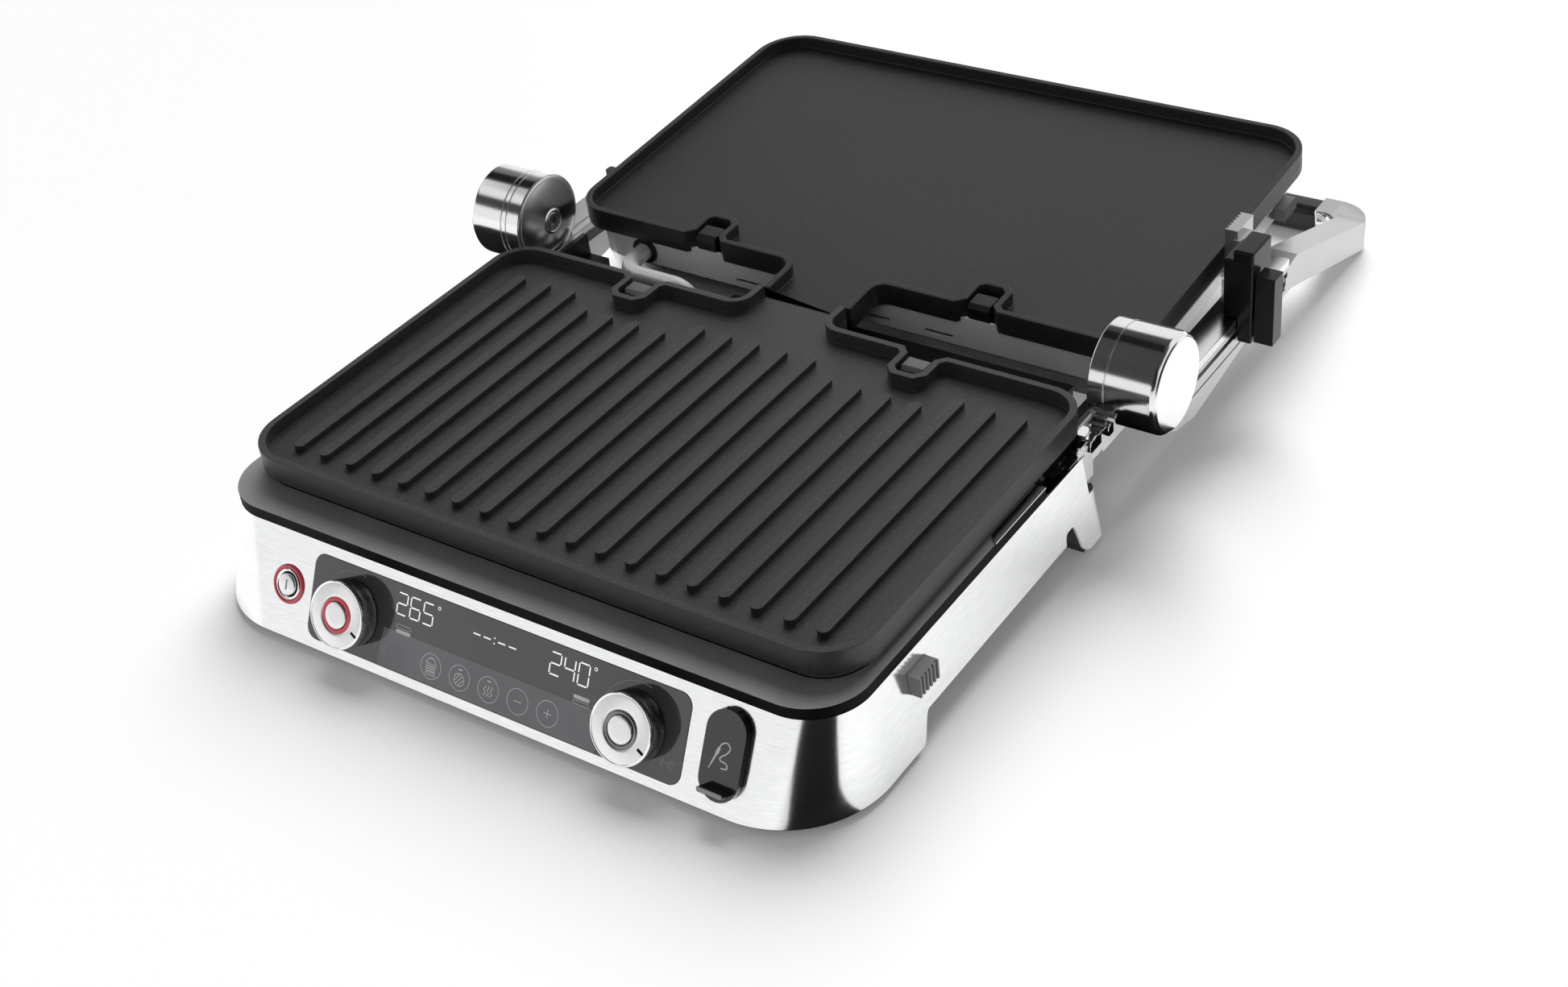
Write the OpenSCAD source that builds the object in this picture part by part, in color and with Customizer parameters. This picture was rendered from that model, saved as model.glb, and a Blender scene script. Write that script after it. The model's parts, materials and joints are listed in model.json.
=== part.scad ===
// Contact grill (panini press) with removable plates, opened flat on its hinge.
// Frame: origin on the table under the middle of the hinge axis, +X to the
// right hub, +Y towards the opened lid, +Z up. Millimetres.

/* [Plates] */
// Width of each cooking plate
plate_w = 368; // [360:1:372]
// Distance from the hinge axis to a plate's near edge
plate_near = 25; // [24:0.5:27]
// Distance from the hinge axis to a plate's far edge
plate_far = 252; // [248:1:254]
// Height of the lower plate's rim above the table
rim_z = 76; // [75:0.5:78]
// Height of a plate's outer wall
wall_h = 8.1; // [7.5:0.1:9]
// Width of a plate's rim
rim_t = 3.8; // [3:0.1:4.5]
// Thickness of a plate's floor
floor_t = 3.4; // [3:0.1:4]
// Number of ribs on the lower plate
rib_count = 19; // [9:1:19]
// Spacing of the ribs
rib_pitch = 17.7; // [16:0.1:18.2]
// Width of a rib
rib_w = 6.5; // [4:0.1:8]
// Height of a rib above the plate's floor
rib_h = 3.8; // [2:0.1:5]

/* [Base] */
// How far the skin's top edge stands out beside the plate
skin_out = 3.7; // [3:0.1:5]
// How far the skin spreads to each side, from top to bottom
skin_flare = 8.1; // [6:0.1:10]
// Thickness of the steel skin
skin_t = 1.2; // [0.8:0.1:1.5]
// Distance from the hinge axis to the skin's top front edge
front_top = 269.7; // [268:0.1:271]
// Distance from the hinge axis to the skin's bottom front edge
front_foot = 295; // [293:0.5:296]
// Height of the skin's top edge
skin_top = 52.3; // [51:0.1:53]
// Height of the skin's bottom edge
skin_foot = 4; // [3:0.5:5]
// Distance from the hinge axis to the base's rear wall
base_rear = 34; // [33:0.5:36]
// Height of the raised edge between the feet
arch_h = 18.6; // [15:0.1:20]
// Thickness of the gloss deck
deck_t = 6.2; // [5:0.1:7]
// Wall of the inner tub
tub_t = 2.4; // [2:0.1:3]
// Radius of a rubber foot
foot_r = 9; // [7:0.5:11]

/* [Hinge] */
// Height of the hinge axis above the lower plate's rim
axis_up = 1.3; // [1:0.1:2]
// Angle between the opened upper plate and the table
lid_tilt = 3.22; // [3:0.01:3.5]
// Distance of the upper plate's rim plane below the hinge axis
upper_drop = 4.55; // [4:0.05:5]
// Radius of a hub
hub_r = 26.5; // [25:0.1:27]
// Length of a hub beyond the arm inside it
hub_nose = 13; // [11:0.5:15]
// Thickness of a bracket's ear
ear_t = 5; // [4:0.1:6]
// Radius of a hinge pin
pin_r = 6; // [5:0.1:7]
// Running clearance between a pin and its bore
run_fit = 0.05; // [0.03:0.01:0.08]

/* [Arms] */
// Running gap between a bracket's ear and an arm
arm_gap = 2.6; // [2:0.1:3]
// Thickness of an arm
arm_t = 17; // [14:0.5:18]
// Height of the guide rail's top
rail_top = 56; // [55:0.5:57]
// Distance from the hinge axis to the arm's bend
arm_bend = 172; // [168:1:176]
// Distance from the hinge axis to the handle's rear face
handle_rear = 298; // [294:1:300]
// Distance from the hinge axis to the upper unit's pivots
pivot_y = 158; // [154:1:160]
// Height of the upper unit's pivots
pivot_z = 44; // [43:0.5:45]
// Radius of a pivot pin
pivot_r = 4.5; // [4:0.1:5]

/* [Controls] */
// Width of the glass panel
glass_w = 230.6; // [226:0.1:234]
// Height of the glass panel along the slope
glass_h = 44.1; // [43:0.1:46]
// Radius of a knob
knob_r = 17.1; // [15:0.1:18]
// How far a knob stands out of the glass
knob_h = 12; // [10:0.5:13]
// Radius of a knob's push button
push_r = 6.8; // [6:0.1:7.4]
// Outer radius of the power ring
ring_r = 10.4; // [10:0.1:11]
// Radius of the power button
power_r = 5.6; // [5:0.1:6]
// Width of the probe cover
cover_w = 21.2; // [20:0.1:22]
// Length of the probe cover along the slope
cover_l = 43.2; // [42:0.1:44]

/* [Drip tray] */
// How far the drip tray's side lies inside the plate's side
tray_side = 44.5; // [43:0.5:50]
// Length of the drip tray
tray_l = 132; // [120:1:134]
// Height of the drip tray
tray_h = 14.6; // [12:0.1:15]

/* [Hidden] */
$fn = 64;

// Clearance between faces that only meet, and between bodies that pass
touch = 0.02;
pass = 0.3;

axis_z = rim_z + axis_up;
deck_top = skin_top + deck_t;

// Across the part, outwards from the plate: skin, bracket ears, arms, hubs
plate_half = plate_w / 2;
skin_top_half = plate_half + skin_out;
skin_foot_half = skin_top_half + skin_flare;
ear_in = skin_top_half - 7.3;
ear_out = ear_in + ear_t;
dome_x = ear_in - 1.5;
arm_in = ear_out + arm_gap;
arm_out = arm_in + arm_t;
hub_out = arm_out + hub_nose;
tray_w = plate_w - 2 * tray_side;
panel_tilt = atan2(front_foot - front_top, skin_top - skin_foot);
corner_top = 30;
corner_foot = 52.6;
rear_corner = 8;

// The tub's inner floor between the feet, and the tray's bay under it
bay_top = 22.4;
bay_floor = 5.6;
bay_w = tray_w + 2;
housing_half = bay_w / 2 + 6.5;
housing_rear = 24;
housing_top = 42;
bay_front = housing_rear - tray_l - 8;
bracket_in = housing_half + 13;
bracket_out = ear_in - 2;
tub_floor = bay_top + 1.6;
tub_gap = skin_t + 0.2;

// Mains lead inlet: distance across, height, and the lead's hole
inlet = [housing_half + 6.5, 30];
inlet_r = 3.6;

// Underside of the hinge brackets
bracket_foot = 38;

// Stepped rack beside the plate, and the trim strips in front of it
rack_out = ear_in + 5.7;
rack_rear = -base_rear + 4.5;
rack_tread = 8.4;
rack_steps = 4;
rack_front = rack_rear - rack_tread * rack_steps - 15.9;
trim_y = [rack_front - 51, rack_front - 2.5];

// Release buttons: distance from the hinge axis, height, width and depth
release_y = -plate_far + 46;
release_z = 38.7;
release_w = 16.4;
release_h = 10.8;
release_in = skin_top_half - 14.7;

// Plates
corner_far = 28;
corner_near = 21;
notch_in = 81;
notch_out = 97;
notch_deep = 46;
notch_flare = 5;
spout_half = 28;
lip_lower = 6.4;
lip_upper = -3;
floor_z = -wall_h + 0.9;
slab_inset = 7;
slab_bottom = floor_z - floor_t;
heater_r = 3.3;
heater_gap = 0.4;

// Panel fittings: distance across, and distance down the slope
knob_x = glass_w / 2 - 28.1;
knob_d = 28.6;
power_x = -glass_w / 2 - 15.8;
power_d = 27.4;
probe_x = glass_w / 2 + 21.7;
probe_d = 25.6;
glass_d = 27.55;
glass_t = 2.5;
glass_r = 6.5;
shaft_r = 3;
push_travel = 1;

// Upper unit, in its own flat frame
unit_half = arm_in - 14;
unit_near = plate_near + 2;
unit_far = plate_far - 4;
unit_top = slab_bottom - pass;
unit_mid = unit_top - 19.1;
unit_base = unit_mid - 16;
unit_corner = 20;
conduit_r = 5.2;
conduit_x = housing_half - 12.5;
conduit_z = unit_top - 10.1;
catch_y = [unit_far - 34, unit_far - 18];
catch_z = [unit_mid - 7.8, unit_mid - 0.4];

function lerp(a, b, t) = a + (b - a) * t;
function arc(cx, cy, r, a0, a1, n = 8) =
    [for (i = [0:n]) [cx + r * cos(lerp(a0, a1, i / n)), cy + r * sin(lerp(a0, a1, i / n))]];

// ---- shared shapes ----

// Outline of the base at height z, stepped in by inset
function base_outline(z, inset) =
    let (
        t = (z - skin_foot) / (skin_top - skin_foot),
        half = lerp(skin_foot_half, skin_top_half, t) - inset,
        front = lerp(front_foot, front_top, t) - inset,
        r = lerp(corner_foot, corner_top, t) - inset,
        rear = -base_rear - inset,
        q = max(rear_corner - inset, 2)
    )
    concat(
        arc(-half + r, -front + r, r, 180, 270, 14),
        arc(half - r, -front + r, r, 270, 360, 14),
        arc(half - q, rear - q, q, 0, 90, 4),
        arc(-half + q, rear - q, q, 90, 180, 4)
    );

module base_body(inset, z0, z1) {
    slice = 0.01;
    hull() {
        translate([0, 0, z0]) linear_extrude(slice) polygon(base_outline(z0, inset));
        translate([0, 0, z1 - slice]) linear_extrude(slice) polygon(base_outline(z1, inset));
    }
}

// Rounded rectangle centred on the origin
module round_rect(w, h, r) {
    polygon(concat(
        arc(w / 2 - r, h / 2 - r, r, 0, 90),
        arc(-w / 2 + r, h / 2 - r, r, 90, 180),
        arc(-w / 2 + r, -h / 2 + r, r, 180, 270),
        arc(w / 2 - r, -h / 2 + r, r, 270, 360)
    ));
}

// Box from its lowest to its highest corner
module block(low, high) {
    translate(low) cube(high - low);
}

// Rod along X, between two distances from the middle
module rod_x(x0, x1, y, z, r) {
    translate([x0, y, z]) rotate([0, 90, 0]) cylinder(h = x1 - x0, r = r);
}

// Extrudes a Y-Z outline along X
module along_x(x0, x1) {
    translate([x0, 0, 0]) rotate([90, 0, 90]) linear_extrude(x1 - x0) children();
}

module mirrored(side) {
    mirror([side < 0 ? 1 : 0, 0, 0]) children();
}

module both_sides() {
    for (side = [-1, 1]) mirrored(side) children();
}

// Places a fitting on the sloping front panel, its Z out of the panel
module on_panel(x, d) {
    translate([x, -front_top, skin_top])
        rotate([90 - panel_tilt, 0, 0])
            translate([0, -d, 0]) children();
}

// Places the upper unit's flat frame in the opened lid
module on_lid() {
    translate([0, 0, axis_z])
        rotate([lid_tilt, 0, 0])
            translate([0, 0, -upper_drop]) children();
}

// Cut that lifts the edge between the front and rear feet
module side_arch(extra, x0, x1) {
    rise = 10;
    front = -front_top + 55.7;
    rear = -base_rear - 24;
    arch = [rear - 14 - extra, rear - 3 + extra];
    along_x(x0, x1)
        polygon(concat(
            [[front - extra, -1]],
            [for (i = [0:10]) [
                front - extra + rise * i / 10,
                lerp(skin_foot, arch_h + extra, (1 - cos(18 * i)) / 2)
            ]],
            [[arch[0], arch_h + extra], [arch[0] + 1, arch_h + 6 + extra]],
            [[arch[1] - 1, arch_h + 6 + extra], [arch[1], arch_h + extra]],
            [[rear + extra, skin_foot + 4], [rear + extra, -1]]
        ));
}

// Outline of a plate: hinge side at the near edge, spout lip at lip
function plate_outline(lip) =
    let (
        h = plate_w / 2,
        n = plate_near,
        f = plate_far,
        notch = [
            [notch_out + notch_flare, n], [notch_out, n + notch_flare],
            [notch_out, notch_deep - 3], [notch_out - 3, notch_deep],
            [notch_in + 3, notch_deep], [notch_in, notch_deep - 3],
            [notch_in, n + notch_flare], [notch_in - notch_flare, n]
        ],
        lip_right = concat(
            arc(spout_half + 8, n - 8, 8, 90, 180, 5), [[spout_half, lip]]
        ),
        right = concat(
            arc(h - corner_far, f - corner_far, corner_far, 90, 0, 12),
            arc(h - corner_near, n + corner_near, corner_near, 0, -90, 10),
            notch, lip_right
        ),
        last = len(right) - 1
    )
    concat(right, [for (i = [last:-1:0]) [-right[i][0], right[i][1]]]);

// Removable plate with its rim plane at z = 0
module plate_body(lip) {
    open_half = spout_half - rim_t;
    difference() {
        union() {
            translate([0, 0, -wall_h])
                linear_extrude(wall_h) polygon(plate_outline(lip));
            translate([0, 0, slab_bottom])
                linear_extrude(floor_t)
                    offset(delta = -slab_inset) polygon(plate_outline(lip));
        }
        translate([0, 0, floor_z])
            linear_extrude(wall_h) offset(delta = -rim_t) polygon(plate_outline(lip));
        block([-open_half, lip - 1, floor_z], [open_half, plate_near + rim_t + 2, 1]);
    }
}

// Round-ended rib along Y
module rib(x, y0, y1) {
    z = floor_z - 0.1;
    r = rib_w / 2;
    h = rib_h + 0.1;
    block([x - r, y0 + r, z], [x + r, y1 - r, z + h]);
    for (y = [y0 + r, y1 - r])
        translate([x, y, z]) cylinder(h = h, r = r);
}

// ---- base ----

// Wall inside the skin, all round the base
module base_tub() {
    color("#1c1c1e")
    difference() {
        base_body(tub_gap, skin_foot + 0.5, skin_top - touch);
        base_body(tub_gap + tub_t, skin_foot - 1, skin_top + 1);
        both_sides() side_arch(1.2, housing_half, skin_foot_half + 5);
        // clear of the housing behind, and of the tray's bay
        block([-housing_half - touch, -base_rear - 12, 0], [housing_half + touch, 0, tub_floor + touch]);
        // sockets for the rack, the brackets, the controls and the release button
        rack_pocket(tub_floor + 8);
        both_sides() bracket_pocket();
        panel_openings(0.6, tub_t + 3);
        release_pocket();
        inlet_hole();
    }
}

// Bottom cover inside the wall: low behind the controls, raised over the tray's bay
module base_floor() {
    lip = 4;
    step_y = -front_foot + 72;
    color("#1c1c1e")
    difference() {
        union() {
            base_body(tub_gap + tub_t + touch, skin_foot + 0.5, tub_floor);
            for (side = [-1, 1])
                mirrored(side)
                    block([bay_w / 2, bay_front, bay_floor - 1], [housing_half, -base_rear - 6, arch_h + 3]);
        }
        // low floor behind the controls
        block([-skin_foot_half, -front_foot, skin_foot + 3], [skin_foot_half, step_y, tub_floor + 1]);
        // raised underside between the feet, the tray's bay in the middle
        both_sides() side_arch(1.2, housing_half, skin_foot_half + 5);
        block([-bay_w / 2, bay_front, bay_floor], [bay_w / 2, 0, bay_top]);
        block([-bay_w / 2 + lip, bay_front, -1], [bay_w / 2 - lip, 0, bay_top]);
        block([-housing_half, step_y + 8, -1], [housing_half, bay_front, bay_top]);
        foot_recesses();
        inlet_hole();
    }
}

module inlet_hole() {
    translate([inlet[0], -base_rear, inlet[1]]) rotate([90, 0, 0])
        cylinder(h = 12, r = inlet_r + 1.4 + touch, center = true);
}

module rack_pocket(z0) {
    block([ear_in - 0.5, rack_front - 2, z0], [skin_foot_half + 5, -base_rear + 5, rim_z + 20]);
}

module bracket_pocket() {
    block([bracket_in - touch, bracket_front - 0.1, bracket_foot - touch],
          [bracket_out + touch, -base_rear + 5, deck_top + 2]);
}

module release_pocket() {
    block([release_in - 3, release_y - release_w / 2 - pass, release_z - release_h / 2 - pass],
          [skin_foot_half + 5, release_y + release_w / 2 + pass, release_z + release_h / 2 + pass]);
}

// Through holes behind the panel fittings
module panel_openings(extra, depth) {
    on_panel(0, glass_d) translate([0, 0, -depth])
        linear_extrude(depth * 2) round_rect(glass_w - 8 + extra, glass_h - 8 + extra, 4);
    on_panel(0, glass_d) translate([0, 0, 0.3 - glass_t - touch])
        linear_extrude(depth * 2) round_rect(glass_w + 0.4, glass_h + 0.4, glass_r + 0.2);
    on_panel(power_x, power_d) translate([0, 0, -depth])
        cylinder(h = depth * 2, r = ring_r - 1.4 + touch);
    on_panel(probe_x, probe_d) translate([0, 0, -depth])
        linear_extrude(depth * 2) round_rect(14, cover_l - 8, 6.8);
}

foot_front = [plate_half - 34, -front_top + 7.7];
foot_rear = [plate_half - 12, -base_rear - 13];

module foot_recesses() {
    both_sides()
        for (p = [foot_front, foot_rear])
            translate([p[0], p[1], -1]) cylinder(h = skin_foot + 3, r = foot_r + touch);
}

module rubber_feet() {
    color("#2a2a2a")
    both_sides()
        for (p = [foot_front, foot_rear])
            translate([p[0], p[1], 0]) cylinder(h = skin_foot + 2 - touch, r = foot_r);
}

module base_skin() {
    color("#c9ccce")
    difference() {
        base_body(0, skin_foot, skin_top);
        base_body(skin_t, skin_foot - 1, skin_top + 1);
        both_sides() side_arch(0, housing_half, skin_foot_half + 5);
        // opening behind, between the rear corners
        block([-ear_in + 0.4, -base_rear - 3, 0], [ear_in - 0.4, 0, deck_top]);
        on_panel(0, glass_d) translate([0, 0, -4])
            linear_extrude(8) round_rect(glass_w + 0.4, glass_h + 0.4, glass_r + 0.2);
        on_panel(power_x, power_d) translate([0, 0, -4]) cylinder(h = 8, r = ring_r - 1 + touch);
        on_panel(probe_x, probe_d) translate([0, 0, -4])
            linear_extrude(8) round_rect(cover_w - 2, cover_l - 2, cover_w / 2 - 1.1);
        block([ear_in - 1.4, -base_rear - 10, tub_floor + 7], [rack_out + 0.1, 0, deck_top]);
        release_pocket();
    }
}

module case_screws() {
    screw_z = bay_top + touch;
    color("#3c3e40")
    for (x = [-1, 0, 1] * (housing_half - 47))
        for (y = [-front_foot + 95, bay_front - 24])
            translate([x, y, screw_z - 2.2])
                difference() {
                    cylinder(h = 2.2 - touch, r = 4);
                    translate([0, 0, -0.5]) cylinder(h = 1.5, r = 1.6, $fn = 6);
                }
}

module deck() {
    in_half = pan_half + 0.4;
    in_front = pan_front + 0.4;
    in_rear = pan_rear - 0.4;
    color("#26272a")
    difference() {
        translate([0, 0, skin_top + touch])
            linear_extrude(deck_t) polygon(base_outline(skin_top, 0));
        translate([0, -(in_front + in_rear) / 2, skin_top - 1])
            linear_extrude(deck_t + 2) round_rect(in_half * 2, in_front - in_rear, 24);
        rack_pocket(skin_top - 1);
    }
}

module deck_trim(side) {
    // folded steel strip on the deck's rim, in front of the rack
    color("#cfd2d4")
    mirrored(side)
        difference() {
            block([skin_top_half - 4.6, trim_y[0], deck_top + 2 * touch],
                  [skin_top_half + 0.4, trim_y[1], deck_top + 0.8]);
            translate([skin_top_half - 4.6, trim_y[0], deck_top])
                rotate([0, 0, 45]) cube([6, 6, 6], center = true);
        }
}

module deck_trim_left() { deck_trim(-1); }
module deck_trim_right() { deck_trim(1); }

// Sheet pan under the lower plate; its posts carry the plate and the heater
pan_floor = release_z + release_h / 2 + 0.5;
pan_half = ear_in - 0.4;
pan_front = plate_far - 3.4;
pan_rear = plate_near + 24.4;
heater_z = rim_z + slab_bottom - heater_r - heater_gap;
heater_y = [-plate_far + 37, -plate_near - 70];

module pan_outline(inset) {
    translate([0, -(pan_front + pan_rear) / 2])
        round_rect((pan_half - inset) * 2, pan_front - pan_rear - 2 * inset, 23.6 - inset);
}

module reflector_pan() {
    pan_t = 1.2;
    lip_z = rim_z - 13;
    color("#b9bcbf") {
        difference() {
            translate([0, 0, pan_floor]) linear_extrude(lip_z - pan_floor) pan_outline(0);
            translate([0, 0, pan_floor + pan_t]) linear_extrude(40) pan_outline(pan_t);
        }
        for (x = [-1, 1] * (pan_half - 30))
            for (y = [-pan_front + 23.6, -pan_rear - 22.6])
                translate([x, y, pan_floor + pan_t - 0.1])
                    cylinder(h = rim_z + slab_bottom - pass - pan_floor - pan_t + 0.1, r = 5);
        for (x = [-60, 60])
            for (y = heater_y)
                block([x - 4, y - 5, pan_floor + pan_t - 0.1],
                      [x + 4, y + 5, heater_z - heater_r - touch]);
    }
}

// U-shaped element: two legs joined by a half turn on the left
module heater_loop(y0, y1, x0, x1, r) {
    mid = (y0 + y1) / 2;
    turn = (y1 - y0) / 2;
    for (y = [y0, y1]) rod_x(x0, x1, y, 0, r);
    translate([x0, mid, 0]) rotate([0, 0, 90])
        rotate_extrude(angle = 180) translate([turn, 0]) circle(r = r);
}

module lower_heater() {
    color("#56504c")
    translate([0, 0, heater_z])
        heater_loop(heater_y[0], heater_y[1], -plate_half + 89, plate_half - 19, heater_r);
}

module plate_catch(y0, y1, z0, z1, w) {
    mid = (notch_in + notch_out) / 2;
    both_sides()
        difference() {
            block([mid - w / 2, y0, z0], [mid + w / 2, y1, z1]);
            translate([mid, y0, z1]) rotate([45, 0, 0]) cube([w + 2, 3, 3], center = true);
        }
}

module lower_plate_catches() {
    color("#9b9ea1")
    plate_catch(-notch_deep + 5, -base_rear + 3, deck_top + touch * 2, rim_z - 1.5, 13);
}

module height_rack() {
    tread = rack_tread;
    drop = 4.2;
    top = rim_z - 15.6;
    rear = rack_rear;
    steps = rack_steps;
    color("#d4d6d8")
    along_x(ear_in, rack_out)
        polygon(concat(
            [for (i = [0:steps - 1]) each [
                [rear - tread * i, top - drop * i],
                [rear - tread * (i + 1), top - drop * i]
            ]],
            [
                [rear - tread * steps, top - drop * steps - 1.6],
                [rack_front + 3, top - drop * steps - 1.6],
                [rack_front + 3, top - drop * steps + 3.4],
                [rack_front, top - drop * steps + 3.4],
                [rack_front, tub_floor + 8 + touch],
                [rear, tub_floor + 8 + touch]
            ]
        ));
}

module rear_housing() {
    wall = 4;
    drip_half = 40;
    color("#202124")
    difference() {
        block([-housing_half, -base_rear - tub_gap + touch, skin_foot],
              [housing_half, housing_rear, housing_top]);
        // bay for the tray, and the drip opening over it
        block([-bay_w / 2, -60, bay_floor], [bay_w / 2, 60, bay_top]);
        block([-drip_half, -base_rear + 8, bay_top - 1],
              [drip_half, housing_rear - 8, housing_top + 1]);
        block([drip_half + 8, -60, bay_top + wall],
              [housing_half - 10, housing_rear - wall, housing_top - wall]);
        // open-backed notch that the conduit swings out of
        block([-conduit_x - 4.5, -8, bay_top + wall], [-conduit_x + 64.5, 60, housing_top + 1]);
    }
}

module cord_inlet() {
    flange_y = -base_rear - tub_gap + touch;
    color("#0f0f10")
    translate([inlet[0], flange_y, inlet[1]]) rotate([-90, 0, 0])
        difference() {
            union() {
                translate([0, 0, -3.6]) cylinder(h = 10, r = inlet_r + 1.4);
                cylinder(h = 1.6, r = inlet_r + 2.4);
            }
            translate([0, 0, -5]) cylinder(h = 14, r = inlet_r);
        }
}

// ---- hinge ----

bracket_front = -plate_near - 23.5;

module hinge_bracket(side) {
    ear_y = 18;
    step_z = skin_top - 1.5;
    color("#5a5c5f")
    mirrored(side)
        difference() {
            union() {
                block([bracket_in, bracket_front, bracket_foot],
                      [bracket_out, -base_rear + 0.1, step_z + 0.2]);
                block([bracket_in, -base_rear, bracket_foot],
                      [bracket_out, housing_rear - 0.6, deck_top - 1.5]);
                block([bracket_out - 8.4, -ear_y, bracket_foot], [ear_out, ear_y, step_z]);
                block([bracket_out - 8.4, rack_rear + touch, bracket_foot + 2], [ear_out, 0, step_z]);
                block([ear_in, -ear_y, bracket_foot], [ear_out, ear_y, axis_z - 11.3]);
                rod_x(ear_in, ear_out, 0, axis_z, hub_r - 2);
            }
            rod_x(ear_in - 1, ear_out + 1, 0, axis_z, pin_r + touch);
        }
}

module hinge_bracket_left() { hinge_bracket(-1); }
module hinge_bracket_right() { hinge_bracket(1); }

module hinge_pins() {
    color("#8d9194")
    both_sides() rod_x(ear_in + touch, hub_out - 7, 0, axis_z, pin_r);
}

module hub_dome(side) {
    r = hub_r - 0.6;
    rise = 1.6;
    ball = (r * r + rise * rise) / (2 * rise);
    color("#d9dbdd")
    mirrored(side)
        translate([ear_in - touch, 0, axis_z]) rotate([0, -90, 0])
            difference() {
                rotate_extrude()
                    polygon(concat(
                        [[0, 0], [r, 0]],
                        [for (i = [0:10]) let (q = r * (1 - i / 10))
                            [q, 0.4 + sqrt(ball * ball - q * q) - (ball - rise)]]
                    ));
                translate([0, 0, -1]) cylinder(h = 6, r = 3.4);
            }
}

module hub_dome_left() { hub_dome(-1); }
module hub_dome_right() { hub_dome(1); }

module dome_screws() {
    color("#6f7275")
    both_sides()
        difference() {
            rod_x(dome_x - 1.2, ear_in - touch, 0, axis_z, 3.3);
            translate([dome_x - 2, 0, axis_z]) rotate([0, 90, 0]) cylinder(h = 2.2, r = 1.8, $fn = 6);
        }
}

module hub_shell(side) {
    x0 = ear_out + 0.9;
    x1 = hub_out - 4;
    wall = 2.2;
    color("#dfe1e3")
    mirrored(side)
        difference() {
            rod_x(x0, x1, 0, axis_z, hub_r);
            rod_x(x0 - 1, x1 + 1, 0, axis_z, hub_r - wall);
            for (x = side > 0 ? [x0 + 8] : [x0 + 8, x0 + 11])
                translate([x, 0, axis_z]) rotate([0, 90, 0])
                    difference() {
                        cylinder(h = 0.9, r = hub_r + 1);
                        translate([0, 0, -1]) cylinder(h = 3, r = hub_r - 0.7);
                    }
            // slot that the arm leaves by
            along_x(arm_in - pass, arm_out + pass) offset(delta = touch) arm_outline(0);
        }
}

module hub_shell_left() { hub_shell(-1); }
module hub_shell_right() { hub_shell(1); }

module hub_cap(side) {
    color("#e6e8ea")
    mirrored(side)
        translate([hub_out - 4 + touch, 0, axis_z]) rotate([0, 90, 0])
            rotate_extrude()
                polygon([
                    [0, 0], [hub_r, 0], [hub_r, 2.2], [hub_r - 1.7, 4 - touch], [0, 4 - touch]
                ]);
}

module hub_cap_left() { hub_cap(-1); }
module hub_cap_right() { hub_cap(1); }

// ---- arms and handle ----

// Side outline of an arm; top is lowered by drop where the rail sits
module arm_outline(drop) {
    fall = [handle_rear - 17, 19];
    polygon([
        [-6, axis_z - 20], [-3, 48], [10, 37], [26, 29.5], [47, 25], [107, 34], [arm_bend - 2, 35],
        [handle_rear - 19, 1.2], [fall[0], fall[1]],
        [arm_bend + 5, rail_top - 3], [arm_bend - 6, rail_top - drop],
        [22, rail_top - drop], [20, axis_z - 13]
    ]);
}

rail_h = 5;
rail_y0 = 24;
slot_z = [rail_top - 10.4, rail_top - 7.2];

module arm(side) {
    x1 = arm_out;
    color("#d3d5d7")
    mirrored(side)
        difference() {
            union() {
                rod_x(arm_in, x1, 0, axis_z, hub_r - 2.4);
                along_x(arm_in, x1) arm_outline(rail_h);
            }
            rod_x(arm_in - 1, x1 + 1, 0, axis_z, pin_r + run_fit);
            rod_x(arm_in - 1, x1 + 1, pivot_y, pivot_z, pivot_r + touch);
            // long slot between the rail and the wide lower bar
            block([x1 - 3, rail_y0, slot_z[0]], [x1 + 1, arm_bend - 8, slot_z[1]]);
            block([x1 - 1.2, rail_y0 + 12, slot_z[0] - 7.2], [x1 + 1, arm_bend - 10, slot_z[0] - 6.2]);
            block([arm_in - 1, rail_y0 + 6, slot_z[0] - 5.6], [arm_in + 5, arm_bend - 24, slot_z[0] + 1.4]);
        }
    // half of the U-shaped handle, joined to the arm's lower end
    color("#d3d5d7") mirrored(side) handle_half();
}

handle_t = 17;
grip_half = arm_in - 15;

module handle_half() {
    x1 = arm_out;
    rear = handle_rear;
    inner = rear - handle_t;
    r_out = 22;
    r_in = 9;
    joint_y = rear - 46;
    intersection() {
        translate([0, 0, 1.2]) linear_extrude(18)
            polygon(concat(
                [[grip_half, inner], [grip_half, rear]],
                arc(x1 - r_out, rear - r_out, r_out, 90, 0, 12),
                [[x1, joint_y], [arm_in, joint_y]],
                arc(arm_in - r_in, inner - r_in, r_in, 0, 90, 8)
            ));
        union() {
            block([grip_half - 1, rear - 19, 0], [x1 + 1, rear + 1, 30]);
            along_x(grip_half - 1, x1 + 1) arm_outline(rail_h);
        }
    }
}

module arm_left() { arm(-1); }
module arm_right() { arm(1); }

module rail(side) {
    color("#c3c6c8")
    mirrored(side)
        block([arm_in, rail_y0, rail_top - rail_h + touch], [arm_out, arm_bend - 6, rail_top]);
}

module rail_left() { rail(-1); }
module rail_right() { rail(1); }

module handle_grip() {
    color("#1b1b1d")
    translate([-grip_half + touch, handle_rear - handle_t / 2, 10.2])
        rotate([90, 0, 90])
            linear_extrude(2 * (grip_half - touch)) round_rect(handle_t, 18, 5);
}

module pivot_pins() {
    color("#8d9194")
    both_sides() rod_x(unit_half - 6, arm_out - 1, pivot_y, pivot_z, pivot_r);
}

// ---- height slider on the right arm ----

slider_y = [97, 120];
block_x = [arm_in + 9, arm_out + 8.5];
block_z = [rail_top - 13.5, rail_top + 41.5];
catch_top = rail_top + 36;

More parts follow.
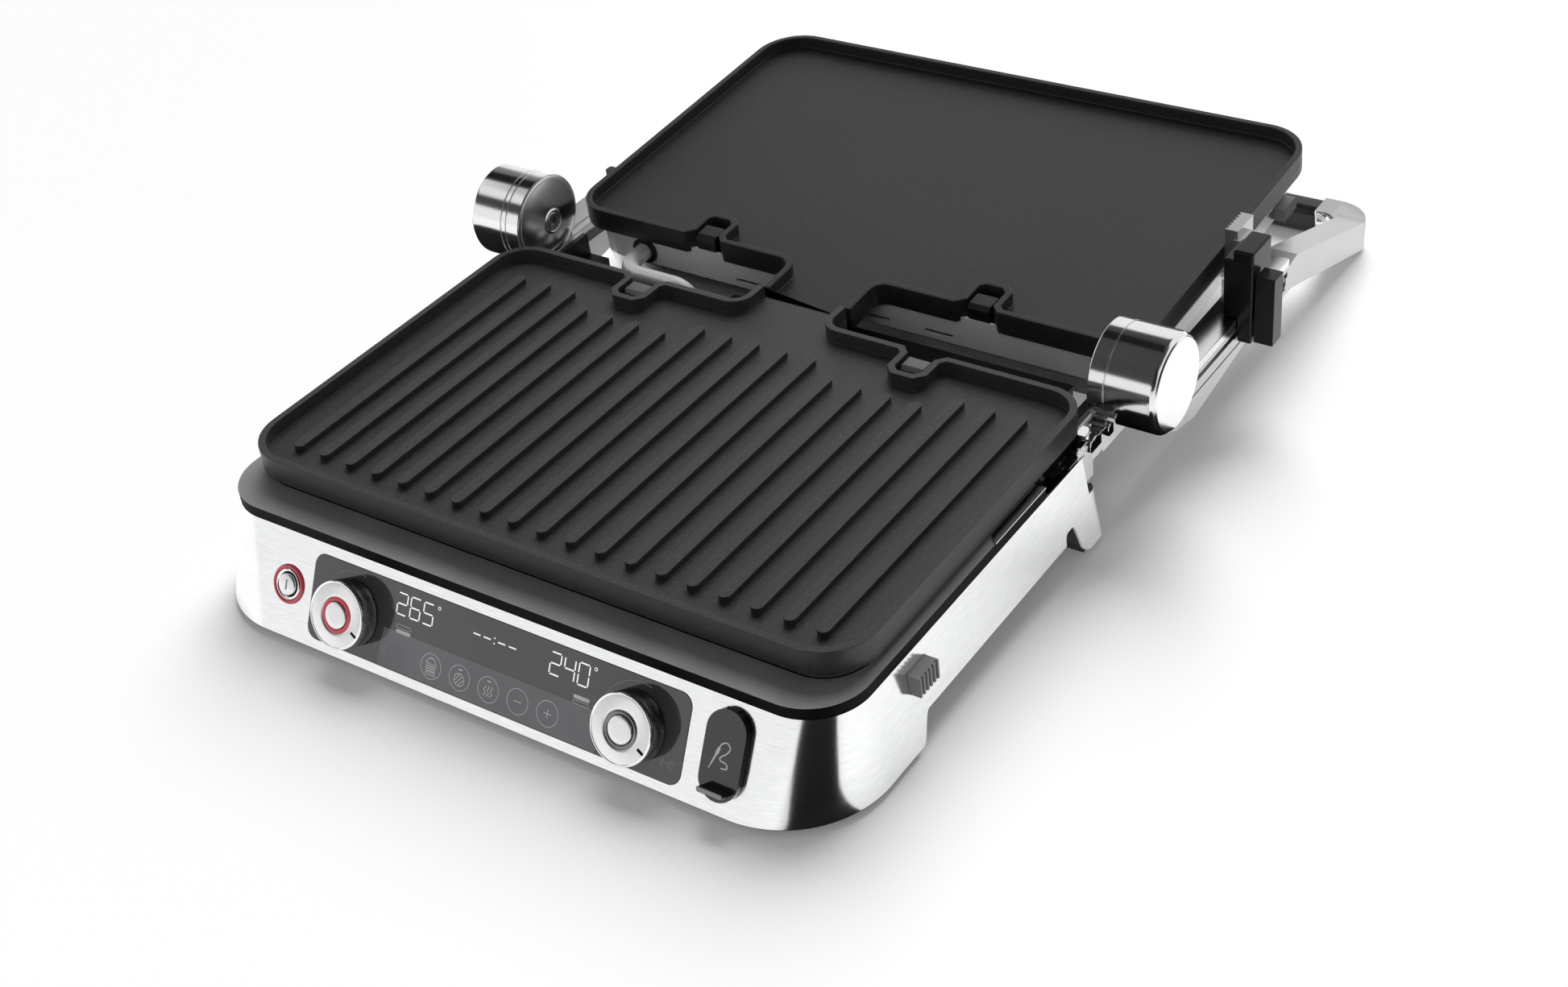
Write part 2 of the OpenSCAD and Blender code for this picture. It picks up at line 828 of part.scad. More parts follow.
module slider_block() {
    color("#17181a")
    difference() {
        block([block_x[0], slider_y[0], block_z[0]], [block_x[1], slider_y[1], block_z[1]]);
        difference() {
            block([arm_in - 1, 0, 20], [arm_out + pass, 200, rail_top + pass]);
            block([arm_out - 2.6, 0, slot_z[0] + 0.4], [arm_out + 1, 200, slot_z[1] - 0.4]);
        }
        block([block_x[0] - 1, slider_y[0] - 1, block_z[1] - 6],
              [block_x[0] + 5, slider_y[1] + 1, block_z[1] + 1]);
    }
}

module slider_catch() {
    x0 = arm_in - 2.8;
    y0 = slider_y[1] + touch;
    ribs = 6;
    color("#c8cbcd")
    difference() {
        union() {
            block([x0, y0 + 4, rail_top + pass], [arm_in + 4.6, y0 + 24, catch_top]);
            block([arm_in + 4, y0, rail_top + pass], [arm_out - 2, y0 + 20, rail_top + 6]);
            block([arm_in + 4, y0, rail_top + pass], [arm_in + 10, y0 + 14, catch_top - 3]);
        }
        for (i = [0:ribs - 1])
            block([x0 - 1, y0 + 6 + 3 * i, catch_top - 13], [x0 + 1, y0 + 7.4 + 3 * i, catch_top + 1]);
    }
}

module slider_paddle() {
    color("#17181a") {
        block([block_x[1] + touch, slider_y[0] + 5, block_z[0] + 12],
              [block_x[1] + 2, slider_y[0] + 11, block_z[1] - 22]);
        block([block_x[1] + 1, slider_y[0] + 1, block_z[0] + 1.3],
              [block_x[1] + 11.7, slider_y[0] + 12, block_z[1] - 13.3]);
    }
}

module slider_clip() {
    color("#c8cbcd")
    block([block_x[0] - 4, slider_y[0] + 7, rail_top + 4],
          [block_x[0] - touch, slider_y[1] - 4, rail_top + 18]);
}

// ---- controls ----

module glass_panel() {
    color("#4a4b50")
    on_panel(0, glass_d) translate([0, 0, -glass_t + 0.3])
        difference() {
            linear_extrude(glass_t) round_rect(glass_w, glass_h, glass_r);
            for (side = [-1, 1])
                translate([side * knob_x, glass_d - knob_d, -1]) cylinder(h = glass_t + 2, r = shaft_r + 1);
        }
}

module display_board() {
    color("#1f5a3a")
    on_panel(0, glass_d) translate([0, 0, -glass_t + 0.3 - 1.6 - touch])
        difference() {
            linear_extrude(1.6) round_rect(glass_w - 12, glass_h - 10, 2);
            for (side = [-1, 1])
                translate([side * knob_x, glass_d - knob_d, -1]) cylinder(h = 4, r = 8);
        }
}

module encoders() {
    color("#8d9194")
    for (side = [-1, 1])
        on_panel(side * knob_x, knob_d) {
            translate([0, 0, -8]) cylinder(h = 8 - glass_t + 0.3 - touch, r = 7.6);
            translate([0, 0, -3]) cylinder(h = 3 + knob_h / 2, r = shaft_r);
        }
}

module power_ring() {
    color("#d8202c")
    on_panel(power_x, power_d)
        difference() {
            union() {
                translate([0, 0, -6]) cylinder(h = 6.2, r = ring_r - 1.4);
                translate([0, 0, touch]) cylinder(h = 1.2, r = ring_r);
            }
            translate([0, 0, -7]) cylinder(h = 12, r = power_r + pass);
        }
}

module power_button() {
    color("#d0d2d4")
    on_panel(power_x, power_d) translate([0, 0, -4]) cylinder(h = 6.2, r = power_r);
}

module knob(side) {
    face_r = knob_r - 1.2;
    base = 0.3 + pass;
    seat = knob_h - 1.6;
    color("#8f9295")
    on_panel(side * knob_x, knob_d)
        difference() {
            translate([0, 0, base]) cylinder(h = knob_h - base, r = knob_r);
            translate([0, 0, base - 1]) cylinder(h = knob_h, r = shaft_r + run_fit);
            translate([0, 0, knob_h / 2 + 0.4]) cylinder(h = knob_h, r = push_r + 0.4);
            translate([0, 0, seat]) cylinder(h = knob_h, r = face_r + touch);
        }
}

module knob_left() { knob(-1); }
module knob_right() { knob(1); }

module knob_face(side) {
    face_r = knob_r - 1.2;
    seat = knob_h - 1.6 + touch;
    color("#d6d8da")
    on_panel(side * knob_x, knob_d)
        difference() {
            translate([0, 0, seat]) cylinder(h = 1.8, r = face_r);
            translate([0, 0, seat - 1]) cylinder(h = 5, r = push_r + pass);
        }
}

module knob_face_left() { knob_face(-1); }
module knob_face_right() { knob_face(1); }

module knob_button(side) {
    color("#e2e3e5")
    on_panel(side * knob_x, knob_d)
        translate([0, 0, knob_h / 2 + 0.4 + push_travel + 0.3])
            cylinder(h = knob_h / 2 - 1, r = push_r);
}

module knob_button_left() { knob_button(-1); }
module knob_button_right() { knob_button(1); }

hinge_d = 5.4;
hinge_h = 1.9;

module probe_socket() {
    ear = 2.6;
    color("#101113")
    on_panel(probe_x, probe_d) {
        difference() {
            union() {
                translate([0, 0, -3]) linear_extrude(3.1) round_rect(14 - touch, cover_l - 8 - touch, 6.8);
                translate([0, 0, touch]) linear_extrude(0.3)
                    round_rect(cover_w - 0.4, cover_l - 0.4, cover_w / 2 - 0.3);
                translate([0, -3, -9]) cylinder(h = 7, r = 4.5);
            }
            translate([0, -3, -8]) cylinder(h = 10, r = 1.8);
        }
        // ear that carries the cover's hinge pin
        translate([0, probe_d - hinge_d, 0]) {
            rod_x(-ear, ear, 0, hinge_h, 1.2);
            block([-ear, -1.2, 0], [ear, 1.2, hinge_h]);
            rod_x(-ear - 2.2, ear + 2.2, 0, hinge_h, 0.6);
        }
    }
}

module probe_cover() {
    ear = 2.6;
    base = 0.3 + 2 * touch + 0.2;
    color("#141517")
    on_panel(probe_x, probe_d)
        difference() {
            union() {
                translate([0, 0, base]) linear_extrude(3.4) round_rect(cover_w, cover_l, cover_w / 2 - 0.1);
                // lifting tab at the lower end
                translate([0, -cover_l / 2 + 5.4, base + 3.3])
                    linear_extrude(5.6) round_rect(14, 2.6, 1.2);
            }
            translate([0, probe_d - hinge_d, 0]) {
                rod_x(-ear - 0.2, ear + 0.2, 0, hinge_h, 1.5);
                block([-ear - 0.2, 0, -1], [ear + 0.2, 9, hinge_h + 1.5]);
                block([-ear - 0.2, -1.5, -1], [ear + 0.2, 0.1, hinge_h]);
                rod_x(-ear - 2.4, ear + 2.4, 0, hinge_h, 0.6 + run_fit);
                // relief above the pin, so that the top end clears the panel
                block([-cover_w, 0.3, -1], [cover_w, 9, hinge_h]);
            }
        }
}

module lower_release() {
    out = skin_top_half + 8.7;
    low = [release_in, release_y - release_w / 2, release_z - release_h / 2];
    color("#8b8e91")
    difference() {
        block(low, low + [out - low[0], release_w, release_h]);
        for (i = [-2:2])
            block([out - 1.2, release_y + 3 * i - 0.7, low[2] - 1],
                  [out + 1, release_y + 3 * i + 0.7, low[2] + release_h + 1]);
    }
}

module drip_tray() {
    wall = 1.8;
    z = bay_floor + pass;
    rear = housing_rear;
    color("#2b2c2f")
    difference() {
        union() {
            block([-tray_w / 2, rear - tray_l, z], [tray_w / 2, rear, z + tray_h]);
            block([-30, rear - 0.1, z], [30, rear + 4, z + 4]);
        }
        block([-tray_w / 2 + wall, rear - tray_l + wall, z + wall],
              [tray_w / 2 - wall, rear - wall, z + tray_h + 1]);
    }
}

// ---- plates ----

module lower_plate() {
    rib_front = plate_far - 18;
    long_end = plate_near + 25;
    short_end = notch_deep + 16;
    color("#2c2c2e")
    translate([0, 0, rim_z])
        mirror([0, 1, 0]) {
            plate_body(lip_lower);
            for (i = [0:rib_count - 1]) {
                x = (i - (rib_count - 1) / 2) * rib_pitch;
                near_catch = abs(x) > notch_in - 32 && abs(x) < notch_out + 14;
                rib(x, near_catch ? short_end : long_end, rib_front);
            }
        }
}

module upper_plate() {
    color("#2c2c2e") on_lid() plate_body(lip_upper);
}

// ---- upper unit ----

module unit_outline(inset) {
    mid = (unit_near + unit_far) / 2;
    translate([0, mid])
        round_rect(2 * (unit_half - inset), unit_far - unit_near - 2 * inset, unit_corner - inset);
}

module upper_housing() {
    wall = 2;
    color("#b4b7ba")
    on_lid()
        difference() {
            translate([0, 0, unit_mid]) linear_extrude(unit_top - unit_mid) unit_outline(0);
            translate([0, 0, unit_mid - 1]) linear_extrude(60) unit_outline(wall);
            // vents in the near wall and the conduit's hole
            for (x = [-71, 14, 54])
                block([x, unit_near - 1, unit_mid + 3], [x + 18, unit_near + wall + 1, unit_mid + 5.6]);
            translate([-conduit_x, unit_near + wall + 1, conduit_z]) rotate([90, 0, 0])
                cylinder(h = wall + 2, r = conduit_r + 1);
        }
}

module upper_cover() {
    wall = 2.4;
    taper = 9;
    slice = 0.01;
    color("#c9ccce")
    on_lid()
        difference() {
            hull() {
                translate([0, 0, unit_mid - 1 - touch]) linear_extrude(1) unit_outline(0);
                translate([0, 0, unit_base + 4]) linear_extrude(slice) unit_outline(2);
                translate([0, 0, unit_base]) linear_extrude(slice) unit_outline(taper);
            }
            hull() {
                translate([0, 0, unit_mid]) linear_extrude(1) unit_outline(wall);
                translate([0, 0, unit_base + 4]) linear_extrude(slice) unit_outline(2 + wall);
                translate([0, 0, unit_base + wall]) linear_extrude(slice) unit_outline(taper + wall);
            }
            pivot_bore();
            // notch for the release button, open at the seam
            block([unit_half - 14, catch_y[0] - 0.4, catch_z[0] - 0.4],
                  [unit_half + 1, catch_y[1] + 0.4, unit_mid + 1]);
        }
}

// Bore for the pivot pins, placed in the upper unit's flat frame
module pivot_bore() {
    translate([0, 0, upper_drop]) rotate([-lid_tilt, 0, 0]) translate([0, 0, -axis_z])
        rod_x(-hub_out, hub_out, pivot_y, pivot_z, pivot_r + run_fit);
}

module upper_reflector() {
    floor_top = slab_bottom - heater_gap - 2 * heater_r - touch;
    color("#b9bcbf")
    on_lid()
        difference() {
            translate([0, 0, floor_top - 1]) linear_extrude(4) unit_outline(2 + touch);
            translate([0, 0, floor_top]) linear_extrude(4) unit_outline(3);
        }
}

module upper_heater() {
    color("#56504c")
    on_lid() translate([0, 0, slab_bottom - heater_r - heater_gap])
        heater_loop(plate_near + 45, plate_far - 47, -unit_half + 84, unit_half - 24, heater_r);
}

module upper_plate_catches() {
    color("#1d1e20")
    on_lid() plate_catch(unit_near + 0.6, unit_near + 12, unit_top + touch, -1.6, 13);
}

module conduit() {
    r = conduit_r;
    bend = 13;
    color("#dadcde")
    on_lid()
        translate([-conduit_x, unit_near + 2, conduit_z]) {
            rotate([90, 0, 0]) cylinder(h = 13, r = r);
            translate([bend, -13, 0]) rotate([0, 0, 180])
                rotate_extrude(angle = 90) translate([bend, 0]) circle(r = r);
            translate([bend, -13 - bend, 0]) rotate([0, 90, 0]) cylinder(h = 24, r = r);
            translate([bend + 24, -13 - bend, -bend]) rotate([90, 0, 0])
                rotate_extrude(angle = 90) translate([bend, 0]) circle(r = r);
            translate([2 * bend + 24, -13 - bend, -bend - 4]) cylinder(h = 4.01, r = r);
        }
}

module conduit_grommet() {
    color("#121214")
    on_lid()
        translate([-conduit_x, unit_near - touch, conduit_z]) rotate([90, 0, 0])
            difference() {
                cylinder(h = 2, r = 8);
                translate([0, 0, -1]) cylinder(h = 4, r = conduit_r + touch);
            }
}

module upper_release() {
    color("#26272a")
    on_lid()
        difference() {
            block([unit_half - 11, catch_y[0], catch_z[0]], [unit_half + 7, catch_y[1], catch_z[1]]);
            for (i = [-4:4])
                translate([unit_half + 6.2, (catch_y[0] + catch_y[1]) / 2 + 1.7 * i - 0.4, catch_z[0] - 1])
                    cube([3, 0.8, 12]);
        }
}

base_tub();
base_floor();
base_skin();
rubber_feet();
case_screws();
deck();
deck_trim_left();
deck_trim_right();
reflector_pan();
lower_heater();
lower_plate_catches();
height_rack();
rear_housing();
cord_inlet();
hinge_bracket_left();
hinge_bracket_right();
hinge_pins();
hub_dome_left();
hub_dome_right();
dome_screws();
glass_panel();
display_board();
encoders();
power_ring();
power_button();
knob_left();
knob_right();
knob_face_left();
knob_face_right();
knob_button_left();
knob_button_right();
probe_socket();
probe_cover();
drip_tray();
lower_release();
lower_plate();
arm_left();
arm_right();
rail_left();
rail_right();
hub_shell_left();
hub_shell_right();
hub_cap_left();
hub_cap_right();
handle_grip();
pivot_pins();
slider_block();
slider_catch();
slider_paddle();
slider_clip();
upper_housing();
upper_cover();
upper_reflector();
upper_heater();
upper_plate_catches();
conduit();
conduit_grommet();
upper_release();
upper_plate();
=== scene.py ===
import json
import math

import bmesh
import bpy
from mathutils import Matrix, Vector
from mathutils.geometry import tessellate_polygon


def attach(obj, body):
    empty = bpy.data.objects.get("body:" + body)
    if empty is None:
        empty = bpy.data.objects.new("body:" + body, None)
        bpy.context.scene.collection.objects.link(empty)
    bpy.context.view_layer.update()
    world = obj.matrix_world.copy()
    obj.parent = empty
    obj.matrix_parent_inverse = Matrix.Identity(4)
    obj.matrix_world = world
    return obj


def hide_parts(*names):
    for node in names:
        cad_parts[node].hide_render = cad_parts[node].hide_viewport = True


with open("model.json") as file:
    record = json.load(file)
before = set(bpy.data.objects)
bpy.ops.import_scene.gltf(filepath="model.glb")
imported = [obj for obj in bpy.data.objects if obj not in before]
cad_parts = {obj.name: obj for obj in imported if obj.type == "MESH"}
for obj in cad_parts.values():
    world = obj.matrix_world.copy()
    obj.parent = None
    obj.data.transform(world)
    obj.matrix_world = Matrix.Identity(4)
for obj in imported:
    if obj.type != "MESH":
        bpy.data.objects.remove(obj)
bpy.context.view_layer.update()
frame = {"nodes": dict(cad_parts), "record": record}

# Shapes are written in millimetres with Z up and the front towards -Y; the frame is in metres.
MM = 0.001
# Points closer than this, in metres, become one
MERGE = 2e-6

SCENE = bpy.context.scene
NODES = frame["nodes"]
BODY = {n: b for b, ns in frame["record"]["behaviour"]["bodies"].items() for n in ns}
SLOT = {s["node"]: s["material_slot"] for s in frame["record"]["subparts"]}

# ---------------------------------------------------------------- camera

CAM_AZ, CAM_EL, CAM_ROLL = (math.radians(a) for a in (37.817, 36.157, -6.839))
CAM_PLACE = (0.6036, -0.8200, 0.6866)
CAM_LENS = 50.33


def link(obj):
    SCENE.collection.objects.link(obj)
    return obj


def make_camera():
    """Stands to the front right and looks down: azimuth, slope and roll turn it."""
    data = bpy.data.cameras.new("camera")
    data.lens = CAM_LENS
    data.sensor_width = 36.0
    data.clip_start = 0.01
    data.clip_end = 50.0
    cam = link(bpy.data.objects.new("camera", data))
    right = Vector((math.cos(CAM_AZ), math.sin(CAM_AZ), 0))
    look = Vector((-math.sin(CAM_AZ) * math.cos(CAM_EL),
                   math.cos(CAM_AZ) * math.cos(CAM_EL), -math.sin(CAM_EL)))
    up = right.cross(look)
    c, s = math.cos(CAM_ROLL), math.sin(CAM_ROLL)
    turn = Matrix((right * c + up * s, up * c - right * s, -look)).transposed()
    cam.matrix_world = Matrix.Translation(CAM_PLACE) @ turn.to_4x4()
    SCENE.camera = cam


# ---------------------------------------------------------------- node helper

class Graph:
    """Builds the node tree of a material or a world."""

    def __init__(self, owner, output="ShaderNodeOutputMaterial"):
        owner.use_nodes = True
        self.tree = owner.node_tree
        self.tree.nodes.clear()
        self.out = self.add(output)

    def add(self, kind, **props):
        node = self.tree.nodes.new(kind)
        for key, value in props.items():
            setattr(node, key, value)
        return node

    def put(self, value, socket):
        if isinstance(value, bpy.types.NodeSocket):
            self.tree.links.new(value, socket)
        elif isinstance(value, tuple) and len(value) == 3 and socket.type == "RGBA":
            socket.default_value = (*value, 1)
        else:
            socket.default_value = value

    def math(self, op, a, b=0.0):
        node = self.add("ShaderNodeMath", operation=op)
        self.put(a, node.inputs[0])
        self.put(b, node.inputs[1])
        return node.outputs[0]

    def vector(self, op, *values):
        node = self.add("ShaderNodeVectorMath", operation=op)
        for value, socket in zip(values, node.inputs):
            self.put(value, socket)
        return node.outputs["Value" if op in ("LENGTH", "DOT_PRODUCT") else "Vector"]

    def combine(self, *parts):
        node = self.add("ShaderNodeCombineXYZ")
        for part, socket in zip(parts, node.inputs):
            self.put(part, socket)
        return node.outputs[0]

    def axis(self, name, vector):
        node = self.add("ShaderNodeSeparateXYZ")
        self.put(vector, node.inputs[0])
        return node.outputs[name]

    def coords(self, scale=(1, 1, 1)):
        tex = self.add("ShaderNodeTexCoord")
        mapping = self.add("ShaderNodeMapping")
        self.put(tex.outputs["Object"], mapping.inputs["Vector"])
        mapping.inputs["Scale"].default_value = scale
        return mapping.outputs[0]

    def lathe_coords(self, axis_point, direction):
        """Round an axis: the way round it, the distance from it and the place along it."""
        off = self.vector("SUBTRACT", self.add("ShaderNodeTexCoord").outputs["Object"], axis_point)
        way_round = self.vector("CROSS_PRODUCT", direction, off)
        return way_round, self.vector("LENGTH", way_round), self.vector("DOT_PRODUCT", off, direction)

    def noise(self, vector, scale=1.0, detail=2.0, rough=0.5):
        node = self.add("ShaderNodeTexNoise")
        self.put(vector, node.inputs["Vector"])
        node.inputs["Scale"].default_value = scale
        node.inputs["Detail"].default_value = detail
        node.inputs["Roughness"].default_value = rough
        return node.outputs["Fac"]

    def cells(self, vector, scale=1.0):
        node = self.add("ShaderNodeTexVoronoi")
        self.put(vector, node.inputs["Vector"])
        node.inputs["Scale"].default_value = scale
        return node.outputs["Distance"], node.outputs["Color"]

    def span(self, value, low, high, to_low=0.0, to_high=1.0):
        node = self.add("ShaderNodeMapRange")
        for i, v in enumerate((value, low, high, to_low, to_high)):
            self.put(v, node.inputs[i])
        return node.outputs[0]

    def mix(self, fac, a, b):
        node = self.add("ShaderNodeMix", data_type="RGBA")
        self.put(fac, node.inputs["Factor"])
        self.put(a, node.inputs[6])
        self.put(b, node.inputs[7])
        return node.outputs[2]

    def bump(self, height, strength, distance):
        node = self.add("ShaderNodeBump")
        node.inputs["Strength"].default_value = strength
        node.inputs["Distance"].default_value = distance
        self.put(height, node.inputs["Height"])
        return node.outputs[0]

    def surface(self, **sockets):
        bsdf = self.add("ShaderNodeBsdfPrincipled")
        for key, value in sockets.items():
            self.put(value, bsdf.inputs[key.replace("_", " ")])
        self.put(bsdf.outputs[0], self.out.inputs["Surface"])


# ---------------------------------------------------------------- kinds of material

MATS = {}


def new_material(name):
    """Keeps an empty material under its name and returns the graph that fills it."""
    MATS[name] = bpy.data.materials.new(name)
    return Graph(MATS[name])


def grey(v, warm=0.0):
    return (v * (1 + warm), v, v * (1 - warm))


def brushed(name, tone, rough, across, along, depth):
    """Steel with fine straight grain: across and along are its scales over and along the grain."""
    g = new_material(name)
    fine = g.noise(g.coords((along[0], along[1], across)), 1.0, 4.0, 0.7)
    wide = g.noise(g.coords((along[0] * 0.6, along[1] * 0.6, across * 0.3)), 1.0, 2.0)
    blend = g.math("ADD", g.math("MULTIPLY", fine, 0.8), g.math("MULTIPLY", wide, 0.2))
    cool = -0.006
    colour = g.mix(g.span(blend, 0.35, 0.65), grey(tone * 0.87, cool), grey(tone * 1.02, cool))
    g.surface(Base_Color=colour, Metallic=1.0,
              Roughness=g.span(fine, 0.3, 0.7, rough * 0.85, rough * 1.15),
              Normal=g.bump(fine, depth, 0.0002))


def spun(name, tone, rough, axis_point, direction):
    """A face cut on a lathe: bright sectors that turn with the light, over fine rings."""
    g = new_material(name)
    way_round, radius, _ = g.lathe_coords(axis_point, direction)
    fine = g.noise(g.combine(radius), 9000.0, 2.0, 0.7)
    colour = g.mix(g.span(fine, 0.3, 0.7), grey(tone * 0.9), grey(tone * 1.05))
    g.surface(Base_Color=colour, Metallic=1.0,
              Roughness=g.span(fine, 0.3, 0.7, rough * 0.85, rough * 1.15),
              Anisotropic=0.85, Tangent=way_round, Normal=g.bump(fine, 0.06, 0.0001))


def turned(name, tone, rough, axis_point, direction, pitch, depth=0.1):
    """Metal turned on a lathe: fine rings of one pitch round the axis."""
    g = new_material(name)
    _, radius, along = g.lathe_coords(axis_point, direction)
    fine = g.noise(g.combine(radius, along), 1 / pitch, 3.0, 0.65)
    soft = g.noise(g.coords(), 40.0, 2.0)
    colour = g.mix(fine, grey(tone * 0.92), grey(tone * 1.05))
    g.surface(Base_Color=colour, Metallic=1.0,
              Roughness=g.math("ADD", g.span(fine, 0.3, 0.7, rough * 0.8, rough * 1.2),
                               g.span(soft, 0.3, 0.7, -0.01, 0.01)),
              Normal=g.bump(fine, depth, 0.0001))


def satin_metal(name, tone, rough, warm=0.0, depth=0.05, metallic=1.0):
    """Blasted or plated metal with faint mottling."""
    g = new_material(name)
    grain = g.noise(g.coords(), 2600.0, 3.0, 0.6)
    cloud = g.noise(g.coords(), 22.0, 3.0)
    colour = g.mix(g.span(cloud, 0.3, 0.7), grey(tone * 0.96, warm), grey(tone * 1.03, warm))
    g.surface(Base_Color=colour, Metallic=metallic,
              Roughness=g.math("ADD", g.span(grain, 0.3, 0.7, rough * 0.85, rough * 1.15),
                               g.span(cloud, 0.3, 0.7, -0.015, 0.015)),
              Normal=g.bump(grain, depth, 0.0001))


def coating(name, tone):
    """Speckled non-stick coating over cast metal."""
    g = new_material(name)
    at = g.coords()
    dist, tint = g.cells(at, 1100.0)
    pick = g.math("GREATER_THAN", g.axis("X", tint), 0.72)
    speck = g.math("MULTIPLY", g.math("LESS_THAN", dist, 0.19), pick)
    cast = g.noise(at, 1000.0, 3.0, 0.65)
    cloud = g.noise(at, 14.0, 3.0)
    body = g.mix(g.span(cloud, 0.3, 0.7), grey(0.0115 * tone, -0.0002), grey(0.015 * tone, -0.0002))
    body = g.mix(g.span(cast, 0.35, 0.7, 0.0, 0.9), body, grey(0.029 * tone, -0.0005))
    colour = g.mix(speck, body, grey(0.075 * tone, -0.001))
    height = g.math("ADD", cast, g.math("MULTIPLY", speck, 0.25))
    g.surface(Base_Color=colour, Roughness=g.span(cast, 0.3, 0.7, 0.38, 0.56),
              Normal=g.bump(height, 0.3, 0.0003))


def plastic(name, tone, rough, grain=1800.0, depth=0.12, coat=0.0, tint=(1, 1, 1.03), shine=0.5):
    """Moulded plastic: spark-eroded grain and slight cloudiness."""
    g = new_material(name)
    at = g.coords()
    fine = g.noise(at, grain, 3.0, 0.6)
    cloud = g.noise(at, 30.0, 2.0)
    low = tuple(tone * 0.88 * t for t in tint)
    high = tuple(tone * 1.12 * t for t in tint)
    g.surface(Base_Color=g.mix(g.span(cloud, 0.3, 0.7), low, high),
              Roughness=g.math("ADD", g.span(fine, 0.3, 0.7, rough * 0.88, rough * 1.12),
                               g.span(cloud, 0.3, 0.7, -0.012, 0.012)),
              Specular_IOR_Level=shine, Coat_Weight=coat, Coat_Roughness=0.06,
              Normal=g.bump(fine, depth, 0.00015))


def lit_print(name, tone, glow, rough=0.4):
    """Printed or back-lit marks on the glass, with the faint grain of a screen print."""
    g = new_material(name)
    grain = g.noise(g.coords(), 3000.0, 2.0)
    colour = g.mix(g.span(grain, 0.3, 0.7), tuple(0.94 * t for t in tone), tone)
    g.surface(Base_Color=colour, Roughness=g.span(grain, 0.3, 0.7, rough * 0.9, rough * 1.1),
              Emission_Color=colour, Emission_Strength=glow)


# ---------------------------------------------------------------- places

SIDES = ((-1, "left"), (1, "right"))

HINGE_Z = 77.3
LID_TILT = math.radians(3.22)

# The steel skin flares from its top edge to its foot: half width, front reach, corner radius
FOOT_Z, FOOT_SIZE = 4.0, (195.8, 295.0, 52.6)
TOP_Z, TOP_SIZE = 52.3, (187.7, 269.7, 30.0)
SKIN_REAR = -42.0
REAR_R = 8.0

PANEL_TILT = math.atan2(FOOT_SIZE[1] - TOP_SIZE[1], TOP_Z - FOOT_Z)
PANEL_S, PANEL_C = math.sin(PANEL_TILT), math.cos(PANEL_TILT)
PANEL_OUT = (0, -PANEL_C, PANEL_S)

# On the front panel, places are across from the middle and down the slope
GLASS_D, GLASS_W, GLASS_H, GLASS_R = 27.55, 230.6, 44.1, 6.5
KNOB_X, KNOB_D, KNOB_R = 87.2, 28.6, 17.1
POWER_X, POWER_D = -131.1, 27.4
PROBE_X, PROBE_D = 137.0, 25.6

HUB_R = 26.5


def on_panel(x, d, h=0.0):
    """x across, d down the slope and h out of the front panel."""
    return (x, -TOP_SIZE[1] - PANEL_S * d - PANEL_C * h, TOP_Z - PANEL_C * d + PANEL_S * h)


def at_height(h):
    return lambda x, d: on_panel(x, d, h)


def as_is(x, y, z):
    return (x, y, z)


# ---------------------------------------------------------------- materials

HUB_AXIS = ((0, 0, HINGE_Z * MM), (1, 0, 0))

plastic("tub_plastic", 0.012, 0.42)
brushed("steel_skin", 0.9, 0.15, 2600.0, (110.0, 110.0), 0.035)
plastic("rubber", 0.014, 0.75, 900.0, 0.3)
satin_metal("screw_steel", 0.4, 0.3)
plastic("deck_gloss", 0.23, 0.3, 700.0, 0.02, 0.5)
satin_metal("trim_steel", 0.78, 0.2)
satin_metal("pan_steel", 0.66, 0.22)
satin_metal("heater_sheath", 0.2, 0.42, 0.08)
satin_metal("catch_metal", 0.26, 0.4)
satin_metal("rack_steel", 0.82, 0.12)
plastic("housing_plastic", 0.012, 0.45)
satin_metal("bracket_metal", 0.84, 0.5)
satin_metal("pin_steel", 0.55, 0.2)
turned("hub_chrome", 0.8, 0.13, *HUB_AXIS, 0.0006)
turned("hub_face", 0.9, 0.24, *HUB_AXIS, 0.0009, 0.03)
satin_metal("dome_steel", 0.66, 0.22, 0.0, 0.02)
plastic("panel_glass", 0.07, 0.06, 300.0, 0.0, 0.6)
plastic("glass_zone", 0.2, 0.1, 300.0, 0.0, 0.3, (1, 0.98, 1.06))
plastic("board", 0.05, 0.5, tint=(0.4, 1.4, 0.7))
plastic("ring_red", 0.6, 0.2, 600.0, 0.02, 0.6, (1.35, 0.12, 0.18))
satin_metal("button_steel", 0.75, 0.22)
satin_metal("knob_metal", 0.17, 0.26)
for side, name in SIDES:
    knob_centre = tuple(q * MM for q in on_panel(side * KNOB_X, KNOB_D))
    spun("knob_face_" + name, 0.82, 0.3, knob_centre, PANEL_OUT)
plastic("socket_plastic", 0.01, 0.35)
plastic("cover_gloss", 0.012, 0.16, 500.0, 0.01, 0.5)
plastic("tray_plastic", 0.016, 0.5)
plastic("release_grey", 0.2, 0.42)
coating("plate_coating", 1.0)
